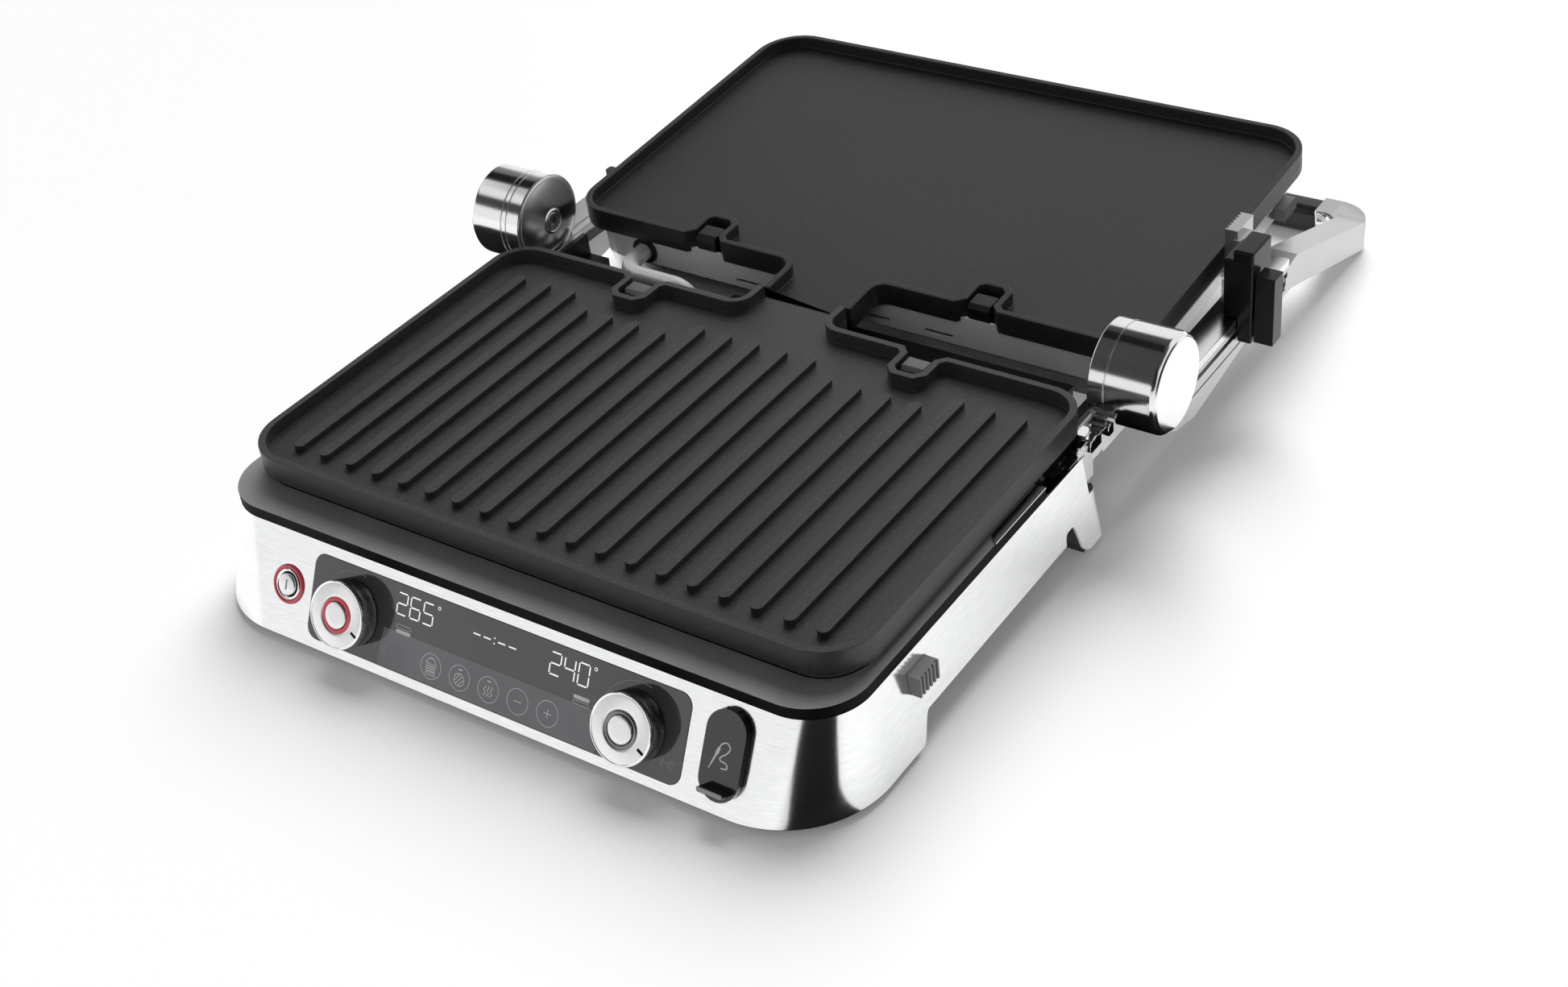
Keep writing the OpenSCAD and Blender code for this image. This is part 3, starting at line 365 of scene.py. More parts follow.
# Painted light: the lower plate gets its own copy of the coating, 1.75 times lighter, to lift a plate that
# renders darker under the same light
coating("plate_coating_painted_lighter", 1.75)
satin_metal("arm_satin", 0.57, 0.34)
plastic("grip_black", 0.013, 0.4)
plastic("slider_gloss", 0.008, 0.22, 400.0, 0.01, 0.0, shine=0.22)
satin_metal("slide_catch", 0.5, 0.32)
brushed("cover_steel", 0.7, 0.28, 2600.0, (60.0, 2600.0), 0.04)
satin_metal("unit_metal", 0.86, 0.36, metallic=0.1)
satin_metal("conduit_satin", 0.86, 0.36, metallic=0.45)
satin_metal("chrome_bright", 0.92, 0.06, 0.0, 0.01)
plastic("shadow_gap", 0.004, 0.6, shine=0.08)
lit_print("digits", (0.9, 0.9, 0.92), 0.72)
# print_pale and print_dim also glow: behind the display's level bars the light is real, but on the knob
# scales, the probe mark and the tab's edge, which are not lit from behind, the glow is painted light
lit_print("print_pale", (0.6, 0.6, 0.61), 0.16)
lit_print("print_dim", (0.42, 0.42, 0.43), 0.05)
lit_print("mark_red", (0.8, 0.09, 0.12), 0.15, 0.25)
satin_metal("mark_grey", 0.22, 0.3)

# ---------------------------------------------------------------- pieces from meshes

def bevelled(obj, width=0.3, segments=2, angle=32):
    """Rounds the edges that turn by more than the angle."""
    bevel = obj.modifiers.new("bevel", "BEVEL")
    bevel.width = width * MM
    bevel.segments = segments
    bevel.limit_method = "ANGLE"
    bevel.angle_limit = math.radians(angle)
    bevel.harden_normals = True
    obj.modifiers.new("normals", "WEIGHTED_NORMAL").keep_sharp = True
    return obj


def softened(node, width, segments):
    """A rounded copy of a CAD solid, which stands for it."""
    name = node + "_soft"
    mesh = NODES[node].data.copy()
    mesh.name = name
    bm = bmesh.new()
    bm.from_mesh(mesh)
    bmesh.ops.remove_doubles(bm, verts=bm.verts, dist=MERGE)
    bmesh.ops.dissolve_limit(bm, angle_limit=math.radians(0.5), verts=bm.verts, edges=bm.edges)
    bm.to_mesh(mesh)
    bm.free()
    mesh.materials.clear()
    mesh.materials.append(MATS[SLOT[node]])
    mesh.polygons.foreach_set("use_smooth", [True] * len(mesh.polygons))
    obj = bevelled(link(bpy.data.objects.new(name, mesh)), width, segments)
    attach(obj, BODY[node])
    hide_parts(node)
    return obj


def mesh_object(name, verts, faces, slot, body, stands_for=(), smooth=True, look=None):
    """A piece from points in millimetres and their faces; look is a material other than its slot's."""
    mesh = bpy.data.meshes.new(name)
    mesh.from_pydata([Vector(v) * MM for v in verts], [], faces)
    bm = bmesh.new()
    bm.from_mesh(mesh)
    bmesh.ops.remove_doubles(bm, verts=bm.verts, dist=MERGE)
    bmesh.ops.recalc_face_normals(bm, faces=bm.faces)
    bm.to_mesh(mesh)
    bm.free()
    mesh.materials.append(MATS[look or slot])
    mesh.polygons.foreach_set("use_smooth", [smooth] * len(mesh.polygons))
    obj = link(bpy.data.objects.new(name, mesh))
    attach(obj, body)
    if stands_for:
        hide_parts(*stands_for)
    return obj


def two_tone(obj, look, chosen, cuts=()):
    """A second material for faces that chosen(middle, normal) picks; cuts are planes to part faces at."""
    bm = bmesh.new()
    bm.from_mesh(obj.data)
    for point, normal in cuts:
        everything = bm.verts[:] + bm.edges[:] + bm.faces[:]
        bmesh.ops.bisect_plane(bm, geom=everything, plane_co=Vector(point) * MM, plane_no=normal)
    for face in bm.faces:
        if chosen(face.calc_center_median() / MM, face.normal):
            face.material_index = 1
    bm.to_mesh(obj.data)
    bm.free()
    obj.data.materials.append(MATS[look])


# ---------------------------------------------------------------- outlines and forms

def lerp(a, b, t):
    return a + (b - a) * t


def arc(cx, cy, r, a0, a1, n=8):
    return [(cx + r * math.cos(math.radians(a0 + (a1 - a0) * i / n)),
             cy + r * math.sin(math.radians(a0 + (a1 - a0) * i / n))) for i in range(n + 1)]


def rounded(cx, cy, w, h, r, n=8):
    x, y = w / 2 - r, h / 2 - r
    return (arc(cx + x, cy + y, r, 0, 90, n) + arc(cx - x, cy + y, r, 90, 180, n)
            + arc(cx - x, cy - y, r, 180, 270, n) + arc(cx + x, cy - y, r, 270, 360, n))


def circle(cx, cy, r, n=48):
    return arc(cx, cy, r, 0, 360, n)[:-1]


def inset(loop, distance):
    """A closed anticlockwise outline moved inwards."""
    out = []
    n = len(loop)
    for i in range(n):
        a, b, c = (Vector(loop[(i + k) % n]) for k in (-1, 0, 1))
        u, v = (b - a).normalized(), (c - b).normalized()
        mid = (u + v).normalized()
        shift = Vector((-mid.y, mid.x)) * (distance / max(0.5, mid.dot(u)))
        out.append(tuple(b + shift))
    return out


def filled(loops, place):
    """Triangles of a flat shape with holes; place turns its 2-D points into 3-D ones."""
    flat = [[Vector((x, y, 0)) for x, y in loop] for loop in loops]
    points = [place(*p) for loop in loops for p in loop]
    return points, [tuple(t) for t in tessellate_polygon(flat)]


def joined(*parts):
    verts, faces = [], []
    for v, f in parts:
        start = len(verts)
        verts.extend(v)
        faces.extend(tuple(i + start for i in face) for face in f)
    return verts, faces


def strip(rows, close=False):
    """Quads between rows of points."""
    n = len(rows[0])
    verts = [p for row in rows for p in row]
    faces = []
    for i in range(len(rows) - 1):
        for j in range(n if close else n - 1):
            k = (j + 1) % n
            faces.append((i * n + j, i * n + k, (i + 1) * n + k, (i + 1) * n + j))
    return verts, faces


def lathe(profile, place, n=96, capped=True):
    """Turns (along, radius) points; place(along, x, y) sets a point on the axis' own cross-section."""
    rows = []
    for along, radius in profile:
        turns = [2 * math.pi * i / n for i in range(n)]
        rows.append([place(along, radius * math.cos(a), radius * math.sin(a)) for a in turns])
    verts, faces = strip(rows, True)
    for last, row in ((False, 0), (True, len(rows) - 1)):
        if capped and profile[row][1] > 0.001:
            face = tuple(row * n + i for i in range(n))
            faces.append(face if last else face[::-1])
    return verts, faces


def stroke(points, width, place, close=False):
    """A flat line of even width along points."""
    pts = [Vector(p) for p in points]
    n = len(pts)
    sides = ([], [])
    for i, p in enumerate(pts):
        before = pts[i - 1] if i or close else None
        after = pts[(i + 1) % n] if i < n - 1 or close else None
        a = (p - before).normalized() if before is not None else None
        b = (after - p).normalized() if after is not None else None
        a, b = a or b, b or a
        mid = (a + b).normalized()
        out = Vector((-mid.y, mid.x)) * (width / 2 / max(0.5, mid.dot(a)))
        sides[0].append(place(*(p + out)))
        sides[1].append(place(*(p - out)))
    faces = []
    for i in range(n if close else n - 1):
        k = (i + 1) % n
        faces.append((i, k, n + k, n + i))
    return sides[0] + sides[1], faces


def bar(cx, cy, w, h, r, place):
    return filled([rounded(cx, cy, w, h, r, 4)], place)


def prism(outline, low, high, place):
    """A plate from an outline; place(x, y, h) sets its points."""
    top = filled([outline], lambda x, y: place(x, y, high))
    bottom = filled([outline], lambda x, y: place(x, y, low))
    wall = strip([[place(x, y, h) for x, y in outline] for h in (low, high)], True)
    return joined(top, bottom, wall)


def box(low, high):
    """Corners and sides of a straight block."""
    (x0, y0, z0), (x1, y1, z1) = low, high
    verts = [(x, y, z) for z in (z0, z1) for x, y in ((x0, y0), (x1, y0), (x1, y1), (x0, y1))]
    faces = [(3, 2, 1, 0), (4, 5, 6, 7)] + [(i, (i + 1) % 4, 4 + (i + 1) % 4, 4 + i) for i in range(4)]
    return verts, faces


# ---------------------------------------------------------------- steel skin

SKIN_T = 1.2
# The side walls arch over the table between the feet
ARCH_FRONT, ARCH_Z = -214.0, 18.6
# The rear corner of the right wall is cut away above this step
STEP_Y, STEP_Z = -44.0, 31.2
RELEASE_WINDOW = [(-214.5, 33.0), (-197.5, 33.0), (-197.5, 44.4), (-214.5, 44.4)]


def skin_size(z):
    t = (z - FOOT_Z) / (TOP_Z - FOOT_Z)
    return tuple(lerp(low, high, t) for low, high in zip(FOOT_SIZE, TOP_SIZE))


def skin_front():
    """The sloping front, open for the glass, the power button and the probe socket."""
    half0, _, r0 = FOOT_SIZE
    half1, _, r1 = TOP_SIZE
    slope = (TOP_Z - FOOT_Z) / PANEL_C
    outline = [(-half1 + r1, 0), (half1 - r1, 0), (half0 - r0, slope), (-half0 + r0, slope)]
    return filled([
        outline,
        rounded(0, GLASS_D, GLASS_W + 0.4, GLASS_H + 0.4, GLASS_R + 0.2),
        circle(POWER_X, POWER_D, 9.42, 40),
        rounded(PROBE_X, PROBE_D, 19.2, 41.2, 9.5),
    ], on_panel)


def skin_flank(side):
    """A side wall: its arch ends at the rear foot in a raised notch."""
    rise = [lerp(FOOT_Z, ARCH_Z, (1 - math.cos(math.radians(18 * i))) / 2) for i in range(11)]
    ramp = [(ARCH_FRONT + i, z) for i, z in enumerate(rise)]
    notch = [(-72, ARCH_Z), (-71, 22.6), (-70, 24.0), (-68.6, 24.6), (-64.4, 24.6), (-63, 24.0), (-62, 22.6)]
    heel = [(-60.4, 17.0), (-58.6, 9.6), (-57.2, 7.2), (-55.6, 6.0), (-52, FOOT_Z), (SKIN_REAR, FOOT_Z)]
    top = [(SKIN_REAR, TOP_Z)]
    if side > 0:
        top = [(SKIN_REAR, STEP_Z), (STEP_Y, STEP_Z), (STEP_Y, TOP_Z)]
    top.append((-TOP_SIZE[1] + TOP_SIZE[2], TOP_Z))
    loops = [[(-FOOT_SIZE[1] + FOOT_SIZE[2], FOOT_Z)] + ramp + notch + heel + top]
    if side > 0:
        loops.append(RELEASE_WINDOW)
    return filled(loops, lambda y, z: (side * skin_size(z)[0], y, z))


def skin_corners(side):
    """The front corner, a part of a cone, and the small rear one."""
    front = []
    for z in (FOOT_Z, TOP_Z):
        half, reach, r = skin_size(z)
        front.append([(side * x, y, z) for x, y in arc(half - r, -reach + r, r, 270, 360, 28)])
    rear = []
    for z in (FOOT_Z, STEP_Z) if side > 0 else (FOOT_Z, STEP_Z, TOP_Z):
        half = skin_size(z)[0]
        rear.append([(side * x, y, z) for x, y in arc(half - REAR_R, SKIN_REAR, REAR_R, 0, 90, 12)])
    return strip(front), strip(rear)


def make_skin():
    parts = [skin_front()]
    for side, _ in SIDES:
        front, rear = skin_corners(side)
        parts += [front, skin_flank(side), rear]
    obj = mesh_object("skin_shell", *joined(*parts), "steel_skin", "base", ("base_skin",))
    solid = obj.modifiers.new("thickness", "SOLIDIFY")
    solid.thickness = SKIN_T * MM
    solid.offset = -1
    solid.use_even_offset = True
    bevelled(obj, 0.25, 2, 40)


def skin_edge(z, margin, rear_y, edge_z):
    """Points at edge_z round the skin's outline of height z, moved in by margin."""
    half, reach, r = skin_size(z)
    right = [(half - margin, rear_y), (half - margin, -reach + r)]
    right += arc(half - r, -reach + r, r - margin, 0, -90, 24)
    return [(x, y, edge_z) for x, y in right + [(-x, y) for x, y in reversed(right)]]


def make_seams():
    """Near-black strips put in the gaps under the skin and between the skin and the deck: painted shade."""
    under = [skin_edge(FOOT_Z, margin, ARCH_FRONT, z) for margin, z in ((0.25, 4.0), (0.7, 3.0), (3.0, 3.0))]
    upper = [skin_edge(TOP_Z, -0.06, SKIN_REAR, z) for z in (52.2, 52.95)]
    mesh_object("case_seams", *joined(strip(under), strip(upper)), "shadow_gap", "base")


# ---------------------------------------------------------------- hubs

def on_axis(side):
    return lambda x, y, z: (side * x, y, HINGE_Z + z)


def make_hub(side, name):
    """The chrome drum on the lid: its skirt covers the dome, and its outer face is turned."""
    place = on_axis(side)
    drum = [(186.5, 23.9), (186.5, 26.05), (181.3, 26.05), (181.3, 26.25), (181.7, HUB_R)]
    grooves = (190.3,) if side > 0 else (190.4, 194.0)
    for at in grooves:
        drum += [(at - 0.4, HUB_R), (at - 0.25, 25.8), (at + 0.25, 25.8), (at + 0.4, HUB_R)]
    drum += [(213.9, HUB_R), (215.0, HUB_R - 0.15), (216.1, HUB_R - 1.0), (216.5, HUB_R - 1.5)]
    obj = mesh_object("hub_drum_" + name, *lathe(drum, place, 128, False), "hub_chrome", "lid_arms",
                      ("hub_shell_" + name,))
    bevelled(obj, 0.12, 2, 25)
    # The hollow inside the drum is near-black shadow_gap: painted shade
    inner = [(186.6, 23.9), (189.0, 23.9), (189.0, 6.0)]
    mesh_object("hub_inside_" + name, *lathe(inner, place, 64, False), "shadow_gap", "lid_arms")
    rim = [(216.5, HUB_R - 1.5), (216.6, HUB_R - 1.9), (217.5, HUB_R - 2.3)]
    rim += [(217.95, HUB_R - 2.9), (217.95, 0.0)]
    face = mesh_object("hub_face_" + name, *lathe(rim, place, 128), "hub_chrome", "lid_arms",
                       ("hub_cap_" + name,), look="hub_face")
    bevelled(face, 0.15, 2, 20)


def make_dome(side, name):
    """The inner cap on the base, hollowed towards its hexagon socket screw."""
    place = on_axis(side)
    dome = [(183.0, 25.9), (181.2, 25.88), (180.9, 25.6), (180.75, 25.2)]
    dome += [(lerp(176.7, 180.7, (q / 25.0) ** 2), q) for q in (24.6, 23, 21, 19, 16, 13, 10, 8, 6.9)]
    dome += [(176.6, 6.7), (176.6, 6.2), (177.2, 6.0)]
    mesh_object("hub_dome_%s_face" % name, *lathe(dome, place, 96, False), "hub_chrome", "base",
                ("hub_dome_" + name,), look="dome_steel")
    head, socket_end = 176.85, 178.2
    hexagon = circle(0, 0, 2.6, 6)
    screw = [
        lathe([(177.15, 6.0), (177.15, 5.0), (head, 4.6), (head, 3.3)], place, 48, False),
        filled([circle(0, 0, 3.3, 48), hexagon], lambda a, b: place(head, a, b)),
        strip([[place(x, a, b) for a, b in hexagon] for x in (head, socket_end)], True),
        filled([hexagon], lambda a, b: place(socket_end, a, b)),
    ]
    mesh_object("dome_screw_" + name, *joined(*screw), "screw_steel", "base", smooth=False)


# ---------------------------------------------------------------- front panel

def make_glass():
    outline = rounded(0, GLASS_D, GLASS_W, GLASS_H, GLASS_R)
    obj = mesh_object("glass", *prism(outline, -2.0, 0.3, on_panel), "panel_glass", "base",
                      ("glass_panel",))
    bevelled(obj, 0.35, 3, 40)
    zone = [(-66, 29.5), (66, 29.5)] + arc(66, 47.0, 2.0, 0, 90, 4) + arc(-66, 47.0, 2.0, 90, 180, 4)
    mesh_object("glass_touch_zone", *filled([zone], at_height(0.36)), "glass_zone", "base")


SEGMENTS = {"0": "abcdef", "2": "abged", "4": "fgbc", "5": "afgcd", "6": "afgedc"}


def digit(value, x, top, w, h, width, place):
    """A seven-segment digit, its segments cut short so that they stay apart."""
    gap = width * 0.62
    mid = top + h / 2
    ends = {
        "a": ((x, top), (x + w, top)), "g": ((x, mid), (x + w, mid)), "d": ((x, top + h), (x + w, top + h)),
        "f": ((x, top), (x, mid)), "b": ((x + w, top), (x + w, mid)),
        "e": ((x, mid), (x, top + h)), "c": ((x + w, mid), (x + w, top + h)),
    }
    parts = []
    for seg in SEGMENTS[value]:
        (x0, y0), (x1, y1) = ends[seg]
        if y0 == y1:
            x0, x1 = x0 + gap, x1 - gap
        else:
            y0, y1 = y0 + gap, y1 - gap
        parts.append(stroke([(x0, y0), (x1, y1)], width, place))
    return joined(*parts)


def make_display():
    """Two temperatures with their level bars, and an idle clock between them."""
    place = at_height(0.42)
    parts = []
    for start, number in ((-59.6, "265"), (35.3, "240")):
        for i, value in enumerate(number):
            parts.append(digit(value, start + 8.3 * i, 9.9, 6.1, 10.6, 0.68, place))
        parts.append(stroke(circle(start + 26.0, 10.4, 0.75, 16), 0.35, place, True))
    for x in (-9.2, -2.9, 6.0, 12.6):
        parts.append(stroke([(x - 2.2, 15.6), (x + 2.2, 15.6)], 0.65, place))
    for d in (14.3, 16.9):
        parts.append(bar(1.6, d, 0.8, 0.8, 0.39, place))
    mesh_object("display_digits", *joined(*parts), "digits", "base")

    parts = []
    for x, solid_d, open_d in ((-53.7, 29.0, 26.4), (55.8, 26.4, 29.0)):
        parts.append(bar(x, solid_d, 9.4, 1.9, 0.9, place))
        parts.append(stroke(rounded(x, open_d, 9.2, 1.7, 0.8, 4), 0.25, place, True))
    mesh_object("display_bars", *joined(*parts), "print_pale", "base")


def roll_icon(x, d, place):
    """A filled roll."""
    crown = [(x - 3.2, d - 1.2)] + arc(x, d - 1.2, 2.9, 200, 340, 10) + [(x + 3.2, d - 1.2)]
    layers = [bar(x, d + q, 6.4, 0.6, 0.29, place) for q in (0.0, 1.2, 2.4)]
    base = stroke(rounded(x, d + 3.9, 6.0, 1.1, 0.5, 4), 0.35, place, True)
    return [stroke(crown, 0.4, place, True)] + layers + [base]


def round_icon(x, d, place):
    """A round with grill lines."""
    middle = Vector((x, d + 0.9))
    along, across = Vector((0.64, -0.77)), Vector((0.77, 0.64))
    parts = [stroke(circle(*middle, 3.1, 28), 0.4, place, True)]
    for q in (-1.6, 0.0, 1.6):
        reach = math.sqrt(2.7 ** 2 - q * q)
        line = [middle + across * q - along * reach, middle + across * q + along * reach]
        parts.append(stroke(line, 0.4, place))
    return parts


def heat_icon(x, d, place):
    """Three rising waves."""
    parts = []
    for q in (-2.0, 0.0, 2.0):
        rise = [0.42 * i for i in range(14)]
        wave = [(x + q + 0.55 * math.sin(t * 2.1), d - 1.9 + t) for t in rise]
        parts.append(stroke(wave, 0.42, place))
    return parts


def make_touch_icons():
    """Five touch fields: three cooking programmes, less and more."""
    place = at_height(0.43)
    d = 39.8
    xs = (-33.9, -15.9, 2.1, 20.1, 38.1)
    roll, patty, heat, less, more = xs
    parts = [stroke(circle(x, d, 6.3, 40), 0.32, place, True) for x in xs]
    parts += [bar(x, d - 4.1, 2.4, 0.8, 0.39, place) for x in (roll, patty, heat)]
    parts += roll_icon(roll, d, place) + round_icon(patty, d, place) + heat_icon(heat, d, place)
    parts += [stroke([(x - 2.3, d), (x + 2.3, d)], 0.42, place) for x in (less, more)]
    parts.append(stroke([(more, d - 2.3), (more, d + 2.3)], 0.42, place))
    mesh_object("touch_icons", *joined(*parts), "print_pale", "base")


def make_knob_scales():
    place = at_height(0.42)
    parts = []
    for side, _ in SIDES:
        x = side * KNOB_X
        parts.append(stroke(arc(x, KNOB_D, 20.4, 200, 286, 30), 0.28, place))
        for i, value in enumerate("240"):
            parts.append(digit(value, x + 16.6 + 2.6 * i, 38.8, 1.7, 3.0, 0.3, place))
        parts.append(stroke(circle(x + 24.6, 38.9, 0.35, 10), 0.16, place, True))
    # The dim print of the scales glows faintly: painted light
    mesh_object("knob_scales", *joined(*parts), "print_dim", "base")


def knurled(h_low, h_high, place, pitch=1.28, depth=0.42, n=336):
    """A band of small diamonds cut by two sets of crossing grooves."""
    steps = int((h_high - h_low) / 0.32)
    rows = []
    for j in range(steps + 1):
        h = h_low + (h_high - h_low) * j / steps
        ring = []
        for i in range(n):
            a = 2 * math.pi * i / n
            u = (a * KNOB_R + h) / pitch
            v = (a * KNOB_R - h) / pitch
            cut = max(abs(2 * (u % 1) - 1), abs(2 * (v % 1) - 1))
            if j in (0, steps):
                cut = 0.9
            q = KNOB_R - depth * cut ** 1.5
            ring.append(place(h, q * math.cos(a), q * math.sin(a)))
        rows.append(ring)
    return strip(rows, True)


def make_knob(side, name):
    """Knurled shell, bright rim, spun face with its light ring and mark, and the push button."""
    body = "knob_" + name
    push = "knob_button_" + name

    def place(h, x, y):
        return on_panel(side * KNOB_X + x, KNOB_D - y, h)

    skirt = lathe([(0.7, 14.0), (0.7, 16.2), (1.0, 16.7), (1.3, 16.7)], place, 96, False)
    lip = lathe([(9.9, 16.7), (10.2, 16.5), (10.5, 16.7)], place, 96, False)
    grip = joined(skirt, knurled(1.3, 9.9, place), lip)
    grip = mesh_object(body + "_grip", *grip, "knob_metal", body, (body,))
    for face in grip.data.polygons:
        face.use_smooth = len(face.vertices) != 4
    rim = [(10.5, 16.7), (10.7, 17.0), (11.7, KNOB_R), (12.0, 16.95), (12.12, 16.6)]
    rim += [(12.12, 16.2), (11.95, 16.0)]
    mesh_object(body + "_rim", *lathe(rim, place, 128, False), "knob_face", body, look="chrome_bright")
    disc = [(11.95, 16.0), (12.05, 15.6), (12.0, 10.5), (12.0, 9.2), (11.6, 9.05), (9.6, 9.05)]
    mesh_object(body + "_disc", *lathe(disc, place, 96, False), "knob_face", body,
                ("knob_face_" + name,), look="knob_face_" + name)
    ring = lathe([(11.7, 9.0), (12.03, 8.85), (12.03, 7.2), (11.6, 7.05)], place, 64, False)
    mesh_object(body + "_ring", *ring, "mark_red" if side < 0 else "mark_grey", body)
    # The pointer notch is a flat near-black bar on the face: painted shade of the notch
    turn = math.radians(-27)
    c, s = math.cos(turn), math.sin(turn)
    mark = [(14.0 * c + u * c - v * s, 14.0 * s + u * s + v * c) for u, v in rounded(0, 0, 3.8, 1.5, 0.3, 3)]
    mesh_object(body + "_mark", *filled([mark], lambda x, y: place(12.09, x, y)), "shadow_gap", body)
    cap = [(7.8, 6.75), (12.2, 6.75), (12.45, 6.6), (12.6, 6.2), (12.66, 4.0), (12.68, 0.0)]
    mesh_object(push + "_cap", *lathe(cap, place, 64), "button_steel", push, (push,))


def make_power():
    """A red light ring round a bright collar and the power button."""
    def place(h, x, y):
        return on_panel(POWER_X + x, POWER_D - y, h)

    ring = [(-0.6, 10.2), (0.35, 10.25), (0.9, 9.95), (1.2, 9.4), (1.22, 8.9), (0.9, 8.4)]
    ring += [(0.3, 8.2), (-0.8, 8.15)]
    mesh_object("power_light_ring", *lathe(ring, place, 72, False), "ring_red", "base", ("power_ring",))
    collar = [(-0.8, 8.15), (0.5, 8.1), (1.1, 7.7), (1.2, 7.2), (0.9, 6.7), (0.2, 6.2), (-2.0, 6.0)]
    mesh_object("power_collar", *lathe(collar, place, 72, False), "button_steel", "base",
                look="chrome_bright")
    cap = [(-2.0, 5.6), (1.6, 5.6), (1.95, 5.4), (2.1, 5.0), (2.12, 0.0)]
    mesh_object("power_cap", *lathe(cap, place, 64), "button_steel", "power_button", ("power_button",))
    mark = bar(POWER_X, POWER_D, 1.0, 5.6, 0.45, at_height(2.17))
    mesh_object("power_bar", *mark, "mark_grey", "power_button")


def make_probe_marks():
    """A meat probe with its lead, as raised lines on the cover, drawn flat in a faintly glowing pale print,
    and a pale strip on the edge of the cover's tab as a painted highlight; their glow is painted light.
    """
    place = at_height(4.0)
    pin = filled([[(130.9, 33.0), (131.3, 33.1), (134.6, 25.4), (133.6, 24.9)]], place)
    grip = filled([[(133.3, 24.9), (134.9, 25.6), (135.8, 22.4), (134.5, 21.8)]], place)
    lead = ([(135.2, 21.9), (136.0, 20.2)] + arc(138.3, 21.4, 2.3, 210, 370, 10)
            + [(139.6, 23.6), (137.2, 25.6)] + arc(137.4, 26.9, 1.2, 250, 110, 6)
            + [(139.2, 28.2), (140.4, 29.0)] + arc(139.6, 30.0, 1.0, 320, 450, 5) + [(137.4, 31.2)])
    mesh_object("probe_mark", *joined(pin, grip, stroke(lead, 0.6, place)), "print_pale", "probe_cover")
    # A pale strip painted on the tab's edge as its highlight
    edge = bar(PROBE_X, 41.9, 13.4, 1.9, 0.6, at_height(9.5))
    mesh_object("probe_tab_edge", *edge, "print_dim", "probe_cover")


# ---------------------------------------------------------------- CAD nodes

# Rounding width and segments of the nodes shown as softened copies
SOFT = {
    "lower_plate": (1.15, 4), "upper_plate": (0.9, 3), "deck": (0.5, 2),
    "arm_left": (1.4, 3), "arm_right": (1.4, 3), "handle_grip": (0.6, 2),
    "slider_block": (1.6, 4), "slider_paddle": (1.6, 4), "slider_catch": (0.3, 2), "slider_clip": (0.3, 2),
    "lower_release": (0.3, 2), "upper_release": (0.3, 2), "height_rack": (0.2, 2),
    "hinge_bracket_left": (0.4, 2), "hinge_bracket_right": (0.4, 2),
    "lower_plate_catches": (0.3, 2), "upper_plate_catches": (0.3, 2), "probe_cover": (0.5, 3),
    "rail_left": (0.3, 2), "rail_right": (0.3, 2),
    "upper_cover": (0.6, 2), "rear_housing": (0.6, 2), "drip_tray": (0.5, 2),
}


def dress_nodes():
    """Softened copies of the nodes in SOFT, and a material for every other node that shows."""
    for node in NODES:
        if node in SOFT:
            softened(node, *SOFT[node])
        elif not NODES[node].hide_render:
            look = "conduit_satin" if node == "conduit" else SLOT[node]
            for slot in NODES[node].material_slots:
                slot.material = MATS[look]


def make_small_parts():
    """The steel link below the right hub and the stud on the left arm."""
    link_bar = box((182.5, -28, 56.5), (194.5, -22.8, 62.8))
    link_foot = box((182, -39, 52), (190.5, -28, 59.5))
    stud = prism(rounded(-203.6, 86.5, 5.0, 6.0, 1.5, 5), 48, 62.5, as_is)
    bevelled(mesh_object("hub_link_bar", *link_bar, "chrome_bright", "base"), 0.8)
    bevelled(mesh_object("hub_link_foot", *link_foot, "chrome_bright", "base"), 0.8)
    bevelled(mesh_object("arm_stud", *stud, "tub_plastic", "lid_arms"), 0.6)


def dress_bracket(side, name):
    """A hinge bracket: black inside its bright outer plate, and cut down to a low flange further in."""
    split, step_start, step_end, flange_z = 177, 174, 173.4, 44
    bracket = SCENE.objects["hinge_bracket_%s_soft" % name]
    cuts = [((side * x, 0, 0), (1, 0, 0)) for x in (split, step_start, step_end)]
    two_tone(bracket, "tub_plastic", lambda c, n: abs(c.x) < split, cuts)
    for vert in bracket.data.vertices:
        if abs(vert.co.x) < (step_end + 0.2) * MM and vert.co.z > flange_z * MM:
            vert.co.z = flange_z * MM


def dress_arm(side, name):
    """Polished inner faces where the arm meets the handle, with a rounded inner corner."""
    polished_from = 255
    arm = SCENE.objects["arm_%s_soft" % name]
    two_tone(arm, "chrome_bright", lambda c, n: c.y > polished_from and n.x * side < -0.25)
    x0, y0, x1, y1 = 173, 266, 188.4, 281.4
    corner = [(side * x, y) for x, y in arc(x0, y0, 15, 90, 0, 12) + [(x1, y0), (x1, y1), (x0, y1)]]
    fillet = mesh_object("handle_corner_" + name, *prism(corner, 1.8, 18.7, as_is), "arm_satin", "lid_arms")
    two_tone(fillet, "chrome_bright", lambda c, n: abs(n.z) < 0.5)


